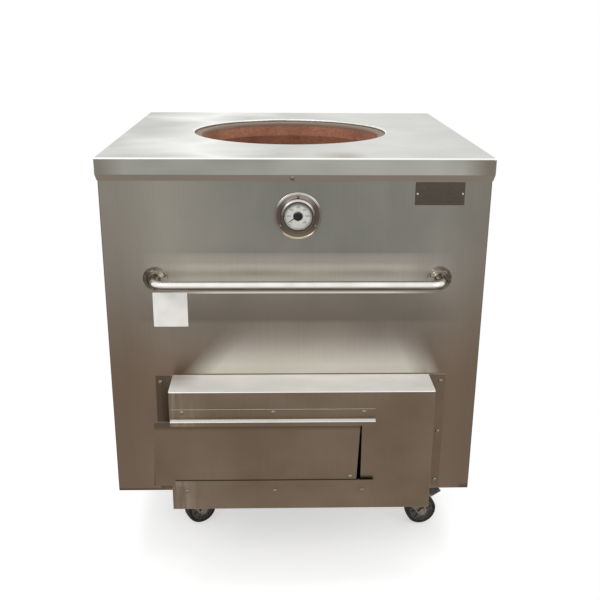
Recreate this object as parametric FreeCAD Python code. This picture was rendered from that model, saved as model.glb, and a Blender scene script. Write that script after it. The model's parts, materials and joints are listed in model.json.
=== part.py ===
import FreeCAD, Part
import math
import os

V = FreeCAD.Vector
X = V(1, 0, 0)
Y = V(0, 1, 0)
Z = V(0, 0, 1)

# A square steel tandoor on casters, in millimetres. X is to the right, +Y to the back, Z up.
# Inside this file the middle of the shell is x = 0, y = 0 and the floor is z = 0. What is saved
# is moved back by origin_shift, so that the origin is under the middle of the overall box.

# ---- driving dimensions ----

# shell and top cover
sheet = 1.5
cover_width = 812.8
cover_depth = 812.8
shell_height = 762.0
frame_height = 76.2
caster_height = 101.6
skirt_height = 47.0
skirt_turn_height = 12.7
skirt_turn_in = 3.0
skirt_gap = 0.4
cover_edge_radius = 4.0
cover_corner_radius = 5.0
panel_bend_radius = 3.0
panel_return = 18.0
seam_gap = 0.3
drill_gap = 0.1
inner_bend_least = 0.2
post_width = 30.0
post_thickness = 3.0
pan_thickness = 2.0

# mouth and pot
mouth_x = -6.0
mouth_y = 15.0
mouth_radius = 235.0
mouth_lip_drop = 6.0
mouth_lip_bend = 3.5
rim_gap = 5.0
gasket_gap = 0.5
gasket_least = 4.0
pot_bore_radius = 215.9
pot_neck_height = 35.0
pot_rim_round = 8.0
pot_belly_radius = 292.0
pot_belly_rise = 320.0
pot_foot_radius = 262.0
pot_wall = 35.0
slab_thickness = 30.0
slab_margin = 12.0
board_thickness = 30.0
fill_gap = 1.0
pocket_end = 3.0

# crumb port and the sleeve through the insulation
port_width = 100.0
port_height = 78.0
port_rise = 4.7
sleeve_inset = 8.0
sleeve_shelf = 45.0
sleeve_gap = 0.3

# heating elements
element_radius = 4.25
outer_ring_radius = 190.0
inner_ring_radius = 130.0
outer_tail_half = 28.0
inner_tail_half = 10.0
ring_fillet = 22.0
element_rise = 17.0
support_width = 14.0
support_margin = 14.0
groove_gap = 0.3
block_width = 84.0
block_depth = 22.0
block_height = 24.0
block_setback = 1.5
block_round = 1.5
clamp_radius = 3.2
clamp_depth = 4.0

# front box with its side flanges and its doorway
box_x = 13.5
box_width = 561.0
box_rise = 6.2
box_height = 281.0
box_depth = 90.0
box_flange = 38.0
box_bend_radius = 2.0
box_screw_inset = 10.5
box_screw_edge = 16.5
doorway_inset = 27.0
doorway_width = 381.0
doorway_rise = 71.0
doorway_height = 135.0

# tracks and sliding draught door
upper_track_inset = 3.0
upper_track_overrun = 27.0
upper_track_flange = 22.6
upper_track_rise = 12.8
lower_track_inset = 8.0
lower_track_overrun = 28.5
lower_track_flange = 30.2
lower_track_drop = 10.0
upper_track_out = 14.5
lower_track_out = 8.0
track_screw_inset = 24.0
upper_screw_drop = 7.0
lower_screw_rise = 15.2
upper_lip = 10.2
lower_lip = 14.0
door_overhang = 61.0
door_width = 435.0
door_play = 3.5
door_lean = 6.5
door_thickness = 1.2
door_edge = 4.3
door_gap = 0.3
door_screw_inset = 16.0
door_screw_rise = 19.2

# towel bar
bar_left_inset = 107.0
bar_right_inset = 97.0
bar_drop = 207.3
bar_standoff = 50.0
bar_radius = 9.25
bar_wall = 1.5
bar_bend_radius = 27.0
bar_plug = 14.0
stud_radius = 4.0
stud_length = 16.0
stud_gap = 0.2
thread_gap = 0.05
rose_radius = 26.0
rose_height = 8.0
rose_lip = 1.2
nut_height = 6.5
nut_flats = 13.0
washer_thickness = 1.5

# thermometer
gauge_x = 4.0
gauge_drop = 72.3
flange_radius = 49.0
flange_thickness = 2.5
flange_step_radius = 36.5
flange_step = 8.0
case_radius = 30.6
case_wall = 1.4
case_depth = 10.5
case_rim_radius = 34.5
case_rim_round = 1.3
case_gap = 0.2
flange_edge = 1.0
glass_lip = 1.2
glass_setback = 0.8
glass_gap = 0.1
dial_thickness = 0.6
dial_bore = 1.6
glass_thickness = 1.8
hub_radius = 10.0
hub_height = 2.1
needle_length = 24.0
needle_root = 1.6
needle_tail = 2.2
needle_tail_length = 8.0
needle_tip = 0.5
needle_thickness = 0.7
needle_angle = 237.0
needle_gap = 0.3
spindle_end_radius = 1.5
stem_radius = 4.0
stem_wall = 1.0
stem_collar = 5.0
stem_reach = 12.0
gauge_screw_circle = 41.5
gauge_screw_radius = 3.3

# name plate and label, both bare
plate_inset = 55.5
plate_drop = 26.1
plate_width = 102.0
plate_height = 47.5
plate_thickness = 1.0
rivet_inset = 4.5
rivet_radius = 2.2
rivet_head = 1.2
rivet_shank_share = 0.6
rivet_length = 4.0
label_inset = 99.3
label_drop = 276.6
label_width = 72.9
label_height = 76.5
label_thickness = 0.3

# screws
screw_head_radius = 4.6
screw_head_height = 2.4
screw_shank_share = 0.52
screw_length = 9.0
screw_gap = 0.1
skirt_screw_x = -8.0
back_screw_edge = 30.0

# controls in the front box
control_setback = 42.0
control_width = 232.0
control_sheet = 1.2
control_inset = 39.0
control_gap = 0.3
knob_rise = 166.0
lamp_drop = 34.0
switch_drop = 67.0
knob_radius = 19.0
knob_height = 16.0
knob_gap = 1.5
spindle_radius = 3.0
spindle_grip = 11.0
moulding_round = 2.0
thermostat_width = 44.0
thermostat_depth = 33.0
lamp_radius = 5.0
lamp_body = 18.0
lamp_height = 6.0
bezel_width = 24.0
bezel_height = 36.0
bezel_thickness = 2.0
switch_wall = 2.2
switch_depth = 24.0
rocker_gap = 0.4
rocker_length = 16.0
rocker_radius = 13.0
rocker_pin_radius = 2.0
rocker_pin_depth = 3.5
rocker_valley = 6.0
rocker_back = 5.0
rocker_tilt = 8.0
contactor_inset = 79.0
contactor_rise = 146.0
contactor_ledge = 9.0
contactor_width = 45.0
contactor_height = 75.0
contactor_depth = 34.0
wire_radius = 1.8
wire_spacing = 7.0
wire_drop = 11.0
wire_bend = 4.0
wire_room = 5.0
capillary_radius = 1.2
capillary_room = 1.5
bulb_radius = 3.5
bulb_length = 90.0
bulb_inset = 2.0
gland_inset = 39.0
gland_setback = 23.5
gland_thread_radius = 12.5
gland_bore_radius = 7.0
gland_seal_length = 24.0
gland_thread_bore = 9.0
gland_flats = 32.0
gland_hex_height = 12.0
gland_dome_height = 14.0
gland_thread_height = 13.0
lock_nut_height = 5.0

# base frame and casters
frame_x = 10.0
caster_span_x = 548.0
caster_span_y = 540.0
rail_width = 50.0
rail_wall = 3.0
rail_overhang = 38.0
cross_width = 40.0
wheel_radius = 38.0
wheel_width = 28.0
tread_round = 4.0
tyre_height = 9.0
web_depth = 4.0
hub_end_radius = 11.0
hub_gap = 0.4
wheel_bore_gap = 0.05
axle_radius = 6.0
trail = 36.0
leg_thickness = 2.5
leg_gap = 1.5
leg_eye_radius = 12.0
crown_thickness = 2.5
crown_back = 3.0
crown_front = 11.0
dome_height = 4.0
race_radius = 22.0
race_gap = 0.3
race_height = 7.3
caster_plate_x = 58.0
caster_plate_y = 72.0
caster_plate_thickness = 3.0
caster_plate_round = 5.0
kingpin_radius = 5.0
kingpin_head = 8.5
kingpin_head_height = 3.2
pin_gap = 0.07
caster_bolt_radius = 4.0
caster_bolt_x = 30.0
caster_bolt_y = 57.0
caster_bolt_flats = 12.0
caster_bolt_head = 5.0
caster_nut_height = 6.5
bolt_end = 9.0
axle_flats = 17.4
axle_head = 4.5
axle_nut = 5.5
pedal_pin_radius = 2.0
pedal_pin_out = 5.0
pedal_pin_drop = 1.7
pedal_barrel = 1.3
pedal_half_width = 12.0
pedal_tab_half_width = 17.0
pedal_thickness = 2.0
pedal_dip_out = 22.0
pedal_dip_rise = 37.5
pedal_slope = 12.0
pedal_tip_out = 46.0
pedal_tip_rise = 51.0
caster_angles = {"front_left": 30.0, "front_right": 10.0, "rear_left": 118.0, "rear_right": 252.0}

# ---- places that follow from them ----

half_x = cover_width / 2 - skirt_turn_in - sheet - skirt_gap
half_y = cover_depth / 2 - skirt_turn_in - sheet - skirt_gap
inner_x = half_x - sheet
inner_y = half_y - sheet
face = -half_y
inside = -inner_y
shell_bottom = caster_height + frame_height
overall_height = shell_bottom + shell_height
skirt_bottom = overall_height - skirt_height
cover_under = overall_height - sheet
pan_top = shell_bottom + pan_thickness
board_top = pan_top + board_thickness
slab_top = board_top + slab_thickness
rim_z = cover_under - rim_gap
neck_z = rim_z - pot_neck_height
belly_z = slab_top + pot_belly_rise
pot_top_radius = pot_bore_radius + pot_wall
port_floor = slab_top + port_rise
port_top = port_floor + port_height
sleeve_reach = pot_foot_radius + sleeve_inset - mouth_y
element_z = slab_top + element_rise
sleeve_sheet = sheet
shelf_front = face - sleeve_shelf
block_back = shelf_front + block_setback + block_depth
box_left = box_x - box_width / 2
box_right = box_x + box_width / 2
box_bottom = shell_bottom + box_rise
box_top = box_bottom + box_height
box_front = face - box_depth
doorway_left = box_left + doorway_inset
doorway_right = doorway_left + doorway_width
doorway_bottom = box_bottom + doorway_rise
doorway_top = doorway_bottom + doorway_height
upper_track_left = box_left + upper_track_inset
upper_track_right = doorway_right + upper_track_overrun
upper_step = doorway_top + upper_track_rise
upper_track_top = upper_step + upper_track_flange
lower_track_left = box_left + lower_track_inset
lower_track_right = doorway_right + lower_track_overrun
lower_step = doorway_bottom - lower_track_drop
lower_track_bottom = lower_step - lower_track_flange
door_back = box_front - door_gap
door_front = door_back - door_edge - door_thickness
door_left = doorway_left - door_overhang
door_bottom = lower_step + sheet + door_gap
door_top = upper_step - sheet - door_play
door_height = door_top - door_bottom
door_screw_x = door_left + door_width - door_screw_inset
door_screw_z = door_bottom + door_screw_rise
bar_left = -half_x + bar_left_inset
bar_right = half_x - bar_right_inset
bar_z = skirt_bottom - bar_drop
gauge_z = skirt_bottom - gauge_drop
plate_x = half_x - plate_inset - plate_width / 2
plate_z = skirt_bottom - plate_drop
label_x = -half_x + label_inset + label_width / 2
label_z = skirt_bottom - label_drop
control_left = box_right - control_width
control_x = control_left + control_inset
control_face = box_front + control_setback
control_back = control_face + control_sheet
knob_z = box_bottom + knob_rise
lamp_z = knob_z - lamp_drop
switch_z = knob_z - switch_drop
contactor_x = box_right - contactor_inset
contactor_z = box_bottom + contactor_rise
gland_x = box_right - gland_inset
rail_top = shell_bottom
rail_bottom = caster_height
rail_length = caster_span_y + 2 * rail_overhang
race_top = caster_height - caster_plate_thickness
dome_top = race_top - race_height
crown_top = dome_top - dome_height
crown_bottom = crown_top - crown_thickness
leg_inner = wheel_width / 2 + leg_gap
leg_outer = leg_inner + leg_thickness
front_reach = half_y + box_depth + upper_track_out
back_reach = cover_depth / 2
origin_shift = (front_reach - back_reach) / 2


# ---- shapes that repeat ----

def block(x0, x1, y0, y1, z0, z1):
    return Part.makeBox(x1 - x0, y1 - y0, z1 - z0, V(x0, y0, z0))


def rod(radius, start, direction, length):
    return Part.makeCylinder(radius, length, start, direction)


def prism(points, push):
    """A straight-sided solid: the closed outline through points, pushed along a vector."""
    wire = Part.makePolygon(points + [points[0]])
    return Part.Face(wire).extrude(push)


def hexagon(flats, start, direction, height):
    """A hexagonal bar standing on start, with the given size across its flats."""
    corner = flats / math.sqrt(3)
    points = [V(corner * math.cos(math.pi * i / 3), corner * math.sin(math.pi * i / 3), 0) for i in range(6)]
    bar = prism(points, V(0, 0, height))
    bar.Placement = FreeCAD.Placement(start, FreeCAD.Rotation(Z, direction))
    return bar


def turned(profile, centre=V(0, 0, 0), direction=Z):
    """A solid of revolution from (radius, height) points about an axis through centre."""
    points = [V(r, 0, h) for r, h in profile]
    face_shape = Part.Face(Part.makePolygon(points + [points[0]]))
    solid = face_shape.revolve(V(0, 0, 0), Z, 360)
    solid.Placement = FreeCAD.Placement(centre, FreeCAD.Rotation(Z, direction))
    return solid


def ring(inner, outer, low, high, centre=V(0, 0, 0), direction=Z):
    return turned([(inner, low), (outer, low), (outer, high), (inner, high)], centre, direction)


def rounded(shape, radius, wanted):
    """The shape with the straight edges that wanted() picks rounded off."""
    edges = [edge for edge in shape.Edges if wanted(edge)]
    return shape.makeFillet(radius, edges)


def upright(edge):
    ends = edge.Vertexes
    if len(ends) != 2:
        return False
    across = abs(ends[0].X - ends[1].X) + abs(ends[0].Y - ends[1].Y)
    return across < 1e-6


def runs_deep(edge):
    return abs(edge.Vertexes[0].Y - edge.Vertexes[-1].Y) > 1


def bent_path(points, bend):
    """A wire of straight runs joined by tangent arcs."""
    edges = []
    last = points[0]
    for before, corner, after in zip(points, points[1:], points[2:]):
        to_before = (before - corner).normalize()
        to_after = (after - corner).normalize()
        half_angle = to_before.getAngle(to_after) / 2
        start = corner + to_before * (bend / math.tan(half_angle))
        end = corner + to_after * (bend / math.tan(half_angle))
        middle_line = (to_before + to_after).normalize()
        middle = corner + middle_line * (bend / math.sin(half_angle) - bend)
        edges.append(Part.LineSegment(last, start).toShape())
        edges.append(Part.Arc(start, middle, end).toShape())
        last = end
    edges.append(Part.LineSegment(last, points[-1]).toShape())
    return Part.Wire(edges)


def swept(path, radius, start, direction):
    circle = Part.Wire(Part.makeCircle(radius, start, direction))
    return path.makePipeShell([circle], True, False)


def bent_rod(points, bend, radius):
    return swept(bent_path(points, bend), radius, points[0], points[1] - points[0])


def screw(seat, outward, r=screw_head_radius):
    """A pan-head screw: seat is where the middle of its head meets the sheet."""
    h = screw_head_height
    head = turned([(0, 0), (r, 0), (r, 0.45 * h), (0.82 * r, 0.85 * h), (0.5 * r, h), (0, h)], seat, outward)
    slot = Part.makeBox(1.4 * r, 0.18 * r, 0.5 * h, V(-0.7 * r, -0.09 * r, 0.55 * h))
    slot.Placement = FreeCAD.Placement(seat, FreeCAD.Rotation(Z, outward))
    shank = rod(screw_shank_share * r, seat, outward * -1, screw_length)
    return head.cut(slot).fuse(shank).removeSplitter()


def screw_hole(seat, outward, r=screw_head_radius):
    """The clearance hole of a screw, through whatever lies behind its head."""
    return rod(screw_shank_share * r + screw_gap, seat + outward * 0.5, outward * -1, screw_length + 1.5)


def tidy(shape):
    """A boolean's result as plain solids."""
    shape = shape.removeSplitter()
    solids = shape.Solids
    return solids[0] if len(solids) == 1 else Part.makeCompound(solids)


# ---- where the screws sit ----

FRONT = Y * -1


def box_screw_seats():
    rows = (box_bottom + box_screw_edge, (box_bottom + box_top) / 2, box_top - box_screw_edge)
    columns = (box_left - box_flange + box_screw_inset, box_right + box_flange - box_screw_inset)
    return [V(x, face - sheet, z) for x in columns for z in rows]


def track_screw_seats():
    seats = []
    for left, right, z in (
        (upper_track_left, upper_track_right, upper_track_top - upper_screw_drop),
        (lower_track_left, lower_track_right, lower_track_bottom + lower_screw_rise),
    ):
        for x in (left + track_screw_inset, (left + right) / 2, right - track_screw_inset):
            seats.append(V(x, box_front - sheet, z))
    return seats


def back_screw_seats():
    x = half_x - post_width / 2
    rows = 4
    low = shell_bottom + back_screw_edge
    step = (skirt_bottom - back_screw_edge - low) / (rows - 1)
    return [V(side * x, half_y, low + step * i) for side in (-1, 1) for i in range(rows)]


def skirt_screw():
    """Seat and direction of the small screw in the turned-in foot of the front skirt."""
    z = skirt_bottom + skirt_turn_height / 2
    y = -cover_depth / 2 + skirt_turn_in / 2
    outward = V(0, -skirt_turn_height, -skirt_turn_in).normalize()
    return V(skirt_screw_x, y, z), outward


def gauge_screw_seats():
    seats = []
    for angle in (90.0, 210.0, 330.0):
        a = math.radians(angle)
        x = gauge_x + gauge_screw_circle * math.cos(a)
        z = gauge_z + gauge_screw_circle * math.sin(a)
        seats.append(V(x, face - flange_thickness, z))
    return seats


# ---- top cover and shell ----

def cover_body(inset, top, radius, corner):
    """The full block that bounds the cover, drawn in by inset all round."""
    hx = cover_width / 2 - inset
    hy = cover_depth / 2 - inset
    turn_z = skirt_bottom + skirt_turn_height
    upper = block(-hx, hx, -hy, hy, turn_z, top)
    upper = rounded(upper, corner, upright)
    if radius > 0:
        upper = rounded(upper, radius, lambda e: all(abs(v.Z - top) < 1e-6 for v in e.Vertexes))

    def outline(z, lean):
        flat = rounded(block(-hx + lean, hx - lean, -hy + lean, hy - lean, z, z + 1), corner, upright)
        return [f for f in flat.Faces if abs(f.CenterOfMass.z - z) < 1e-6][0].OuterWire

    foot = Part.makeLoft([outline(skirt_bottom, skirt_turn_in), outline(turn_z, 0.0)], True, True)
    return upper.fuse(foot)


def top_cover():
    outer = cover_body(0.0, overall_height, cover_edge_radius, cover_corner_radius)
    inner_edge = max(cover_edge_radius - sheet, inner_bend_least)
    inner_corner = max(cover_corner_radius - sheet, inner_bend_least)
    inner = cover_body(sheet, cover_under, inner_edge, inner_corner)
    shell = outer.cut(inner)
    centre = V(mouth_x, mouth_y, 0)
    bend = mouth_lip_bend
    shell = shell.cut(rod(mouth_radius + bend, centre + Z * (cover_under - 1), Z, sheet + 2))
    bend_z = overall_height - bend
    lip_z = overall_height - mouth_lip_drop
    outside = Part.makeTorus(mouth_radius + bend, bend, centre + Z * bend_z, Z)
    inside_bend = Part.makeTorus(mouth_radius + bend, bend - sheet, centre + Z * bend_z, Z)
    quarter = ring(mouth_radius - 1, mouth_radius + bend, bend_z, overall_height + 1, centre)
    rolled = outside.cut(inside_bend).common(quarter)
    straight = ring(mouth_radius, mouth_radius + sheet, lip_z, bend_z, centre)
    seat, outward = skirt_screw()
    return tidy(shell.fuse([rolled, straight]).cut(screw_hole(seat, outward)))


def folded_panel(front_side):
    """A front or back panel with rounded corners and short returns along the sides."""
    y_out = face if front_side else half_y
    y_in = y_out + panel_return if front_side else y_out - panel_return
    low, high = min(y_out, y_in), max(y_out, y_in)
    outer = block(-half_x, half_x, low, high, shell_bottom, cover_under)
    outer = rounded(outer, panel_bend_radius, lambda e: upright(e) and abs(e.CenterOfMass.y - y_out) < 1e-6)
    skin = sheet if front_side else -sheet
    beyond = 1.0 if front_side else -1.0
    y_skin, y_open = y_out + skin, y_in + beyond
    near, far = min(y_skin, y_open), max(y_skin, y_open)
    inner = block(-inner_x, inner_x, near, far, shell_bottom - 1, cover_under + 1)
    inner_bend = max(panel_bend_radius - sheet, inner_bend_least)
    inner = rounded(inner, inner_bend, lambda e: upright(e) and abs(e.CenterOfMass.y - y_skin) < 1e-6)
    return outer.cut(inner)


def front_panel():
    panel = folded_panel(True)
    cuts = [port_tunnel(sleeve_sheet + sleeve_gap, face - 1, inside + 1)]
    cuts.append(rod(stem_radius + 1, V(gauge_x, face - 1, gauge_z), Y, sheet + 2))
    cuts += [rod(stud_radius + stud_gap, V(x, face - 1, bar_z), Y, sheet + 2) for x in bar_legs()]
    cuts += [screw_hole(seat, FRONT) for seat in box_screw_seats()]
    cuts += [screw_hole(seat, FRONT, gauge_screw_radius) for seat in gauge_screw_seats()]
    cuts.append(screw_hole(*skirt_screw()))
    cuts += [rivet_hole(x) for x in rivet_columns()]
    return tidy(panel.cut(cuts))


def back_panel():
    return tidy(folded_panel(False).cut([screw_hole(seat, Y) for seat in back_screw_seats()]))


def side_panels():
    reach = half_y - panel_return - seam_gap
    right = block(inner_x, half_x, -reach, reach, shell_bottom, cover_under)
    return Part.makeCompound([right, right.mirror(V(0, 0, 0), X)])


def corner_posts():
    """Four angle irons inside the corners of the shell, each with its outer edge rounded to the bend."""
    posts = []
    for sx in (-1, 1):
        for sy in (-1, 1):
            x_out, y_out = sx * inner_x, sy * inner_y
            x_in, y_in = x_out - sx * post_width, y_out - sy * post_width
            full = block(*sorted((x_out, x_in)), *sorted((y_out, y_in)), pan_top, cover_under)
            full = rounded(full, panel_bend_radius, lambda e: upright(e)
                           and abs(e.CenterOfMass.x - x_out) < 1e-6 and abs(e.CenterOfMass.y - y_out) < 1e-6)
            x_leg, y_leg = x_out - sx * post_thickness, y_out - sy * post_thickness
            x_far, y_far = x_in - sx, y_in - sy
            hollow = block(*sorted((x_leg, x_far)), *sorted((y_leg, y_far)), pan_top - 1, cover_under + 1)
            posts.append(full.cut(hollow))
    posts_shape = Part.makeCompound(posts)
    return tidy(posts_shape.cut([screw_hole(seat, Y) for seat in back_screw_seats()]))


def base_pan():
    pan = block(-inner_x, inner_x, -inner_y, inner_y, shell_bottom, pan_top)
    return rounded(pan, panel_bend_radius, upright)


# ---- pot, slab and insulation ----

def pot_profile(grow):
    """Half outline of the pot's inner or outer surface, as edges from the foot up to the rim."""
    foot = V(pot_foot_radius + grow, 0, slab_top)
    belly = V(pot_belly_radius + grow, 0, belly_z)
    shoulder = V(pot_bore_radius + grow, 0, neck_z)
    return foot, belly, shoulder


def pot_volume(grow, top, foot_z):
    """The solid inside the pot's wall line, drawn out by grow, from foot_z up to top."""
    foot, belly, shoulder = pot_profile(grow)
    rim = V(shoulder.x, 0, top)
    edges = [
        Part.LineSegment(V(0, 0, foot_z), V(foot.x, 0, foot_z)).toShape(),
        Part.Arc(foot, belly, shoulder).toShape(),
        Part.LineSegment(shoulder, rim).toShape(),
        Part.LineSegment(rim, V(0, 0, top)).toShape(),
        Part.LineSegment(V(0, 0, top), V(0, 0, foot_z)).toShape(),
    ]
    if foot_z < slab_top:
        edges.insert(1, Part.LineSegment(V(foot.x, 0, foot_z), foot).toShape())
    solid = Part.Face(Part.Wire(edges)).revolve(V(0, 0, 0), Z, 360)
    solid.translate(V(mouth_x, mouth_y, 0))
    return solid


def clay_pot():
    pot = pot_volume(pot_wall, rim_z, slab_top).cut(pot_volume(0.0, rim_z + 1, slab_top - 1))
    inner_rim = [e for e in pot.Edges if abs(e.CenterOfMass.z - rim_z) < 1e-3
                 and abs(e.BoundBox.XLength / 2 - pot_bore_radius) < 1e-3]
    pot = pot.makeFillet(min(pot_rim_round, 0.4 * pot_wall), inner_rim)
    port = port_tunnel(sleeve_sheet + sleeve_gap, face, mouth_y - pot_foot_radius / 2)
    stem = rod(stem_radius + 1, V(gauge_x, face, gauge_z), Y, -face)
    return tidy(pot.cut([port, stem]))


def base_slab():
    radius = pot_foot_radius + pot_wall + slab_margin
    return rod(radius, V(mouth_x, mouth_y, board_top), Z, slab_thickness)


def insulation():
    """The board under the slab, and the loose fill between the pot and the shell."""
    edge = fill_gap
    hx, hy = inner_x - edge, inner_y - edge
    board = block(-hx, hx, -hy, hy, pan_top, board_top)
    fill = block(-hx, hx, -hy, hy, board_top, cover_under - edge)
    slab_radius = pot_foot_radius + pot_wall + slab_margin + fill_gap
    cuts = [pot_volume(pot_wall + fill_gap, cover_under + 1, board_top - 1)]
    cuts.append(rod(slab_radius, V(mouth_x, mouth_y, board_top - 1), Z, slab_thickness + 1 + fill_gap))
    cuts.append(port_tunnel(sleeve_sheet + fill_gap, face, mouth_y - pot_foot_radius / 2))
    cuts.append(rod(stem_radius + fill_gap, V(gauge_x, face, gauge_z), Y, -face))
    cuts += [rod(nut_flats + fill_gap, V(x, face, bar_z), Y, stud_length + pocket_end) for x in bar_legs()]
    tails = [(seat.x, seat.z) for seat in box_screw_seats() + gauge_screw_seats()]
    tails += [(x, plate_z) for x in rivet_columns()]
    cuts += [rod(screw_head_radius, V(x, face, z), Y, screw_length + pocket_end) for x, z in tails]
    skirt_seat, _ = skirt_screw()
    skirt_pocket = V(skirt_seat.x, face, skirt_seat.z)
    cuts.append(rod(2 * screw_head_radius, skirt_pocket, Y, screw_length + pocket_end))
    corner = post_width + fill_gap
    for sx in (-1, 1):
        for sy in (-1, 1):
            x0, x1 = sorted((sx * (inner_x + 1), sx * (inner_x - corner)))
            y0, y1 = sorted((sy * (inner_y + 1), sy * (inner_y - corner)))
            post_room = block(x0, x1, y0, y1, pan_top - 1, cover_under + 1)
            cuts.append(post_room)
    return Part.makeCompound([tidy(board.cut(cuts[3:])), tidy(fill.cut(cuts))])


def mouth_gasket():
    """A rope of ceramic fibre, pressed flat between the pot's rim and the cover."""
    inner = mouth_radius + mouth_lip_bend + gasket_gap
    outer = max(pot_top_radius, inner + gasket_least)
    return ring(inner, outer, rim_z, cover_under, V(mouth_x, mouth_y, 0))


# ---- crumb port ----

def port_tunnel(grow, y0, y1):
    """The port's rectangular passage, drawn out by grow, between two y values."""
    half = port_width / 2 + grow
    return block(mouth_x - half, mouth_x + half, y0, y1, port_floor - grow, port_top + grow)


def port_sleeve():
    """A rectangular duct from the shell's face into the pot's wall, with a shelf in the front box."""
    outer = port_tunnel(sleeve_sheet, face, -sleeve_reach)
    shelf = port_tunnel(sleeve_sheet, shelf_front, face + 1)
    floor_slice = block(-half_x, half_x, shelf_front, face + 1, port_floor - sleeve_sheet, port_floor)
    shelf = shelf.common(floor_slice)
    tunnel = port_tunnel(0.0, shelf_front - 1, -sleeve_reach + 1)
    return tidy(outer.fuse(shelf).cut(tunnel))


# ---- heating elements ----

def element_ring(ring_radius, tail_half):
    """One sheathed element: an open ring on the slab whose two tails run forward through the sleeve."""
    centre_y = mouth_y
    fillet_x = tail_half + ring_fillet
    fillet_y = centre_y - math.sqrt((ring_radius + ring_fillet) ** 2 - fillet_x ** 2)
    share = ring_radius / (ring_radius + ring_fillet)
    tail_front = block_back - block_depth

    def spot(x, y):
        return V(mouth_x + x, y, element_z)

    def side(sign):
        tail_end = spot(sign * tail_half, tail_front)
        tail_top = spot(sign * tail_half, fillet_y)
        meet_x = fillet_x * share
        meet_y = centre_y + (fillet_y - centre_y) * share
        chord = V(meet_x - tail_half, meet_y - fillet_y, 0)
        normal = V(-chord.y, chord.x, 0).normalize()
        half_chord = chord.Length / 2
        rise = ring_fillet - math.sqrt(ring_fillet ** 2 - half_chord ** 2)
        bulge = V(tail_half, fillet_y, 0) + chord * 0.5 + normal * rise
        return tail_end, tail_top, spot(sign * bulge.x, bulge.y), spot(sign * meet_x, meet_y)

    end_a, top_a, bulge_a, meet_a = side(-1)
    end_b, top_b, bulge_b, meet_b = side(1)
    path = Part.Wire([
        Part.LineSegment(end_a, top_a).toShape(),
        Part.Arc(top_a, bulge_a, meet_a).toShape(),
        Part.Arc(meet_a, spot(0, centre_y + ring_radius), meet_b).toShape(),
        Part.Arc(meet_b, bulge_b, top_b).toShape(),
        Part.LineSegment(top_b, end_b).toShape(),
    ])
    return swept(path, element_radius, end_a, Y)


def heating_elements():
    return Part.makeCompound([element_ring(outer_ring_radius, outer_tail_half),
                              element_ring(inner_ring_radius, inner_tail_half)])


def element_supports():
    """Four ceramic bars on the slab, grooved under the two rings."""
    grooves = [Part.makeTorus(r, element_radius + groove_gap, V(0, 0, element_z))
               for r in (outer_ring_radius, inner_ring_radius)]
    bars = []
    for angle in (45, 135, 225, 315):
        bar = block(inner_ring_radius - support_margin, outer_ring_radius + support_margin,
                    -support_width / 2, support_width / 2, slab_top, element_z)
        bar = bar.cut(grooves)
        bar.rotate(V(0, 0, 0), Z, angle)
        bar.translate(V(mouth_x, mouth_y, 0))
        bars.append(tidy(bar))
    return Part.makeCompound(bars)


def tail_columns():
    return [mouth_x + x for x in (-outer_tail_half, -inner_tail_half, inner_tail_half, outer_tail_half)]


def terminal_block():
    """A ceramic block on the sleeve's shelf that clamps the four element tails."""
    front = block_back - block_depth
    body = block(mouth_x - block_width / 2, mouth_x + block_width / 2, front, block_back,
                 port_floor, port_floor + block_height)
    body = rounded(body, block_round, upright)
    cuts = []
    for x in tail_columns():
        cuts.append(rod(element_radius + groove_gap, V(x, front - 1, element_z), Y, block_depth + 2))
        clamp_seat = V(x, (front + block_back) / 2, port_floor + block_height - clamp_depth)
        cuts.append(rod(clamp_radius, clamp_seat, Z, clamp_depth + 1))
    return tidy(body.cut(cuts))


# ---- front box, tracks and door ----

def front_box():
    """A folded box, open to the back, with a flange down each side and a doorway in its front."""
    outer = block(box_left, box_right, box_front, face, box_bottom, box_top)
    bend = box_bend_radius

    def folded_edge(e):
        on_front = all(abs(v.Y - box_front) < 1e-6 for v in e.Vertexes)
        return on_front and len(e.Vertexes) == 2

    outer = rounded(outer, bend, folded_edge)
    low, high = box_bottom + sheet, box_top - sheet
    inner = block(box_left + sheet, box_right - sheet, box_front + sheet, face + 1, low, high)
    box = outer.cut(inner)
    left_flange = block(box_left - box_flange, box_left + sheet, face - sheet, face, box_bottom, box_top)
    right_flange = block(box_right - sheet, box_right + box_flange, face - sheet, face, box_bottom, box_top)
    box = box.fuse([left_flange, right_flange])
    before, behind = box_front - 1, box_front + sheet + 1
    doorway = block(doorway_left, doorway_right, before, behind, doorway_bottom, doorway_top)
    gland_hole = rod(gland_thread_radius + drill_gap, V(gland_x, gland_y(), box_bottom - 1), Z, sheet + 2)
    holes = [screw_hole(seat, FRONT) for seat in box_screw_seats() + track_screw_seats()]
    return tidy(box.cut([doorway, gland_hole] + holes))


def track(left, right, flange_z, step_z, lip_z, out):
    """A Z-section: a flange on the box, a step outwards and a lip over the door's edge."""
    front = box_front - out
    down = 1 if flange_z > step_z else -1
    inner_step = step_z - down * sheet
    flange = block(left, right, box_front - sheet, box_front, *sorted((flange_z, inner_step)))
    step = block(left, right, front, box_front, *sorted((step_z, inner_step)))
    lip = block(left, right, front, front + sheet, *sorted((step_z, lip_z)))
    body = flange.fuse([step, lip]).removeSplitter()
    outer_bend = [e for e in body.Edges if all(abs(v.Y - front) < 1e-6 and abs(v.Z - step_z) < 1e-6
                                               for v in e.Vertexes)]
    body = body.makeFillet(0.9 * sheet, outer_bend)
    return tidy(body.cut([screw_hole(seat, FRONT) for seat in track_screw_seats()]))


def upper_track():
    lip = upper_step - upper_lip
    return track(upper_track_left, upper_track_right, upper_track_top, upper_step, lip, upper_track_out)


def lower_track():
    lip = lower_step + lower_lip
    return track(lower_track_left, lower_track_right, lower_track_bottom, lower_step, lip, lower_track_out)


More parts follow.
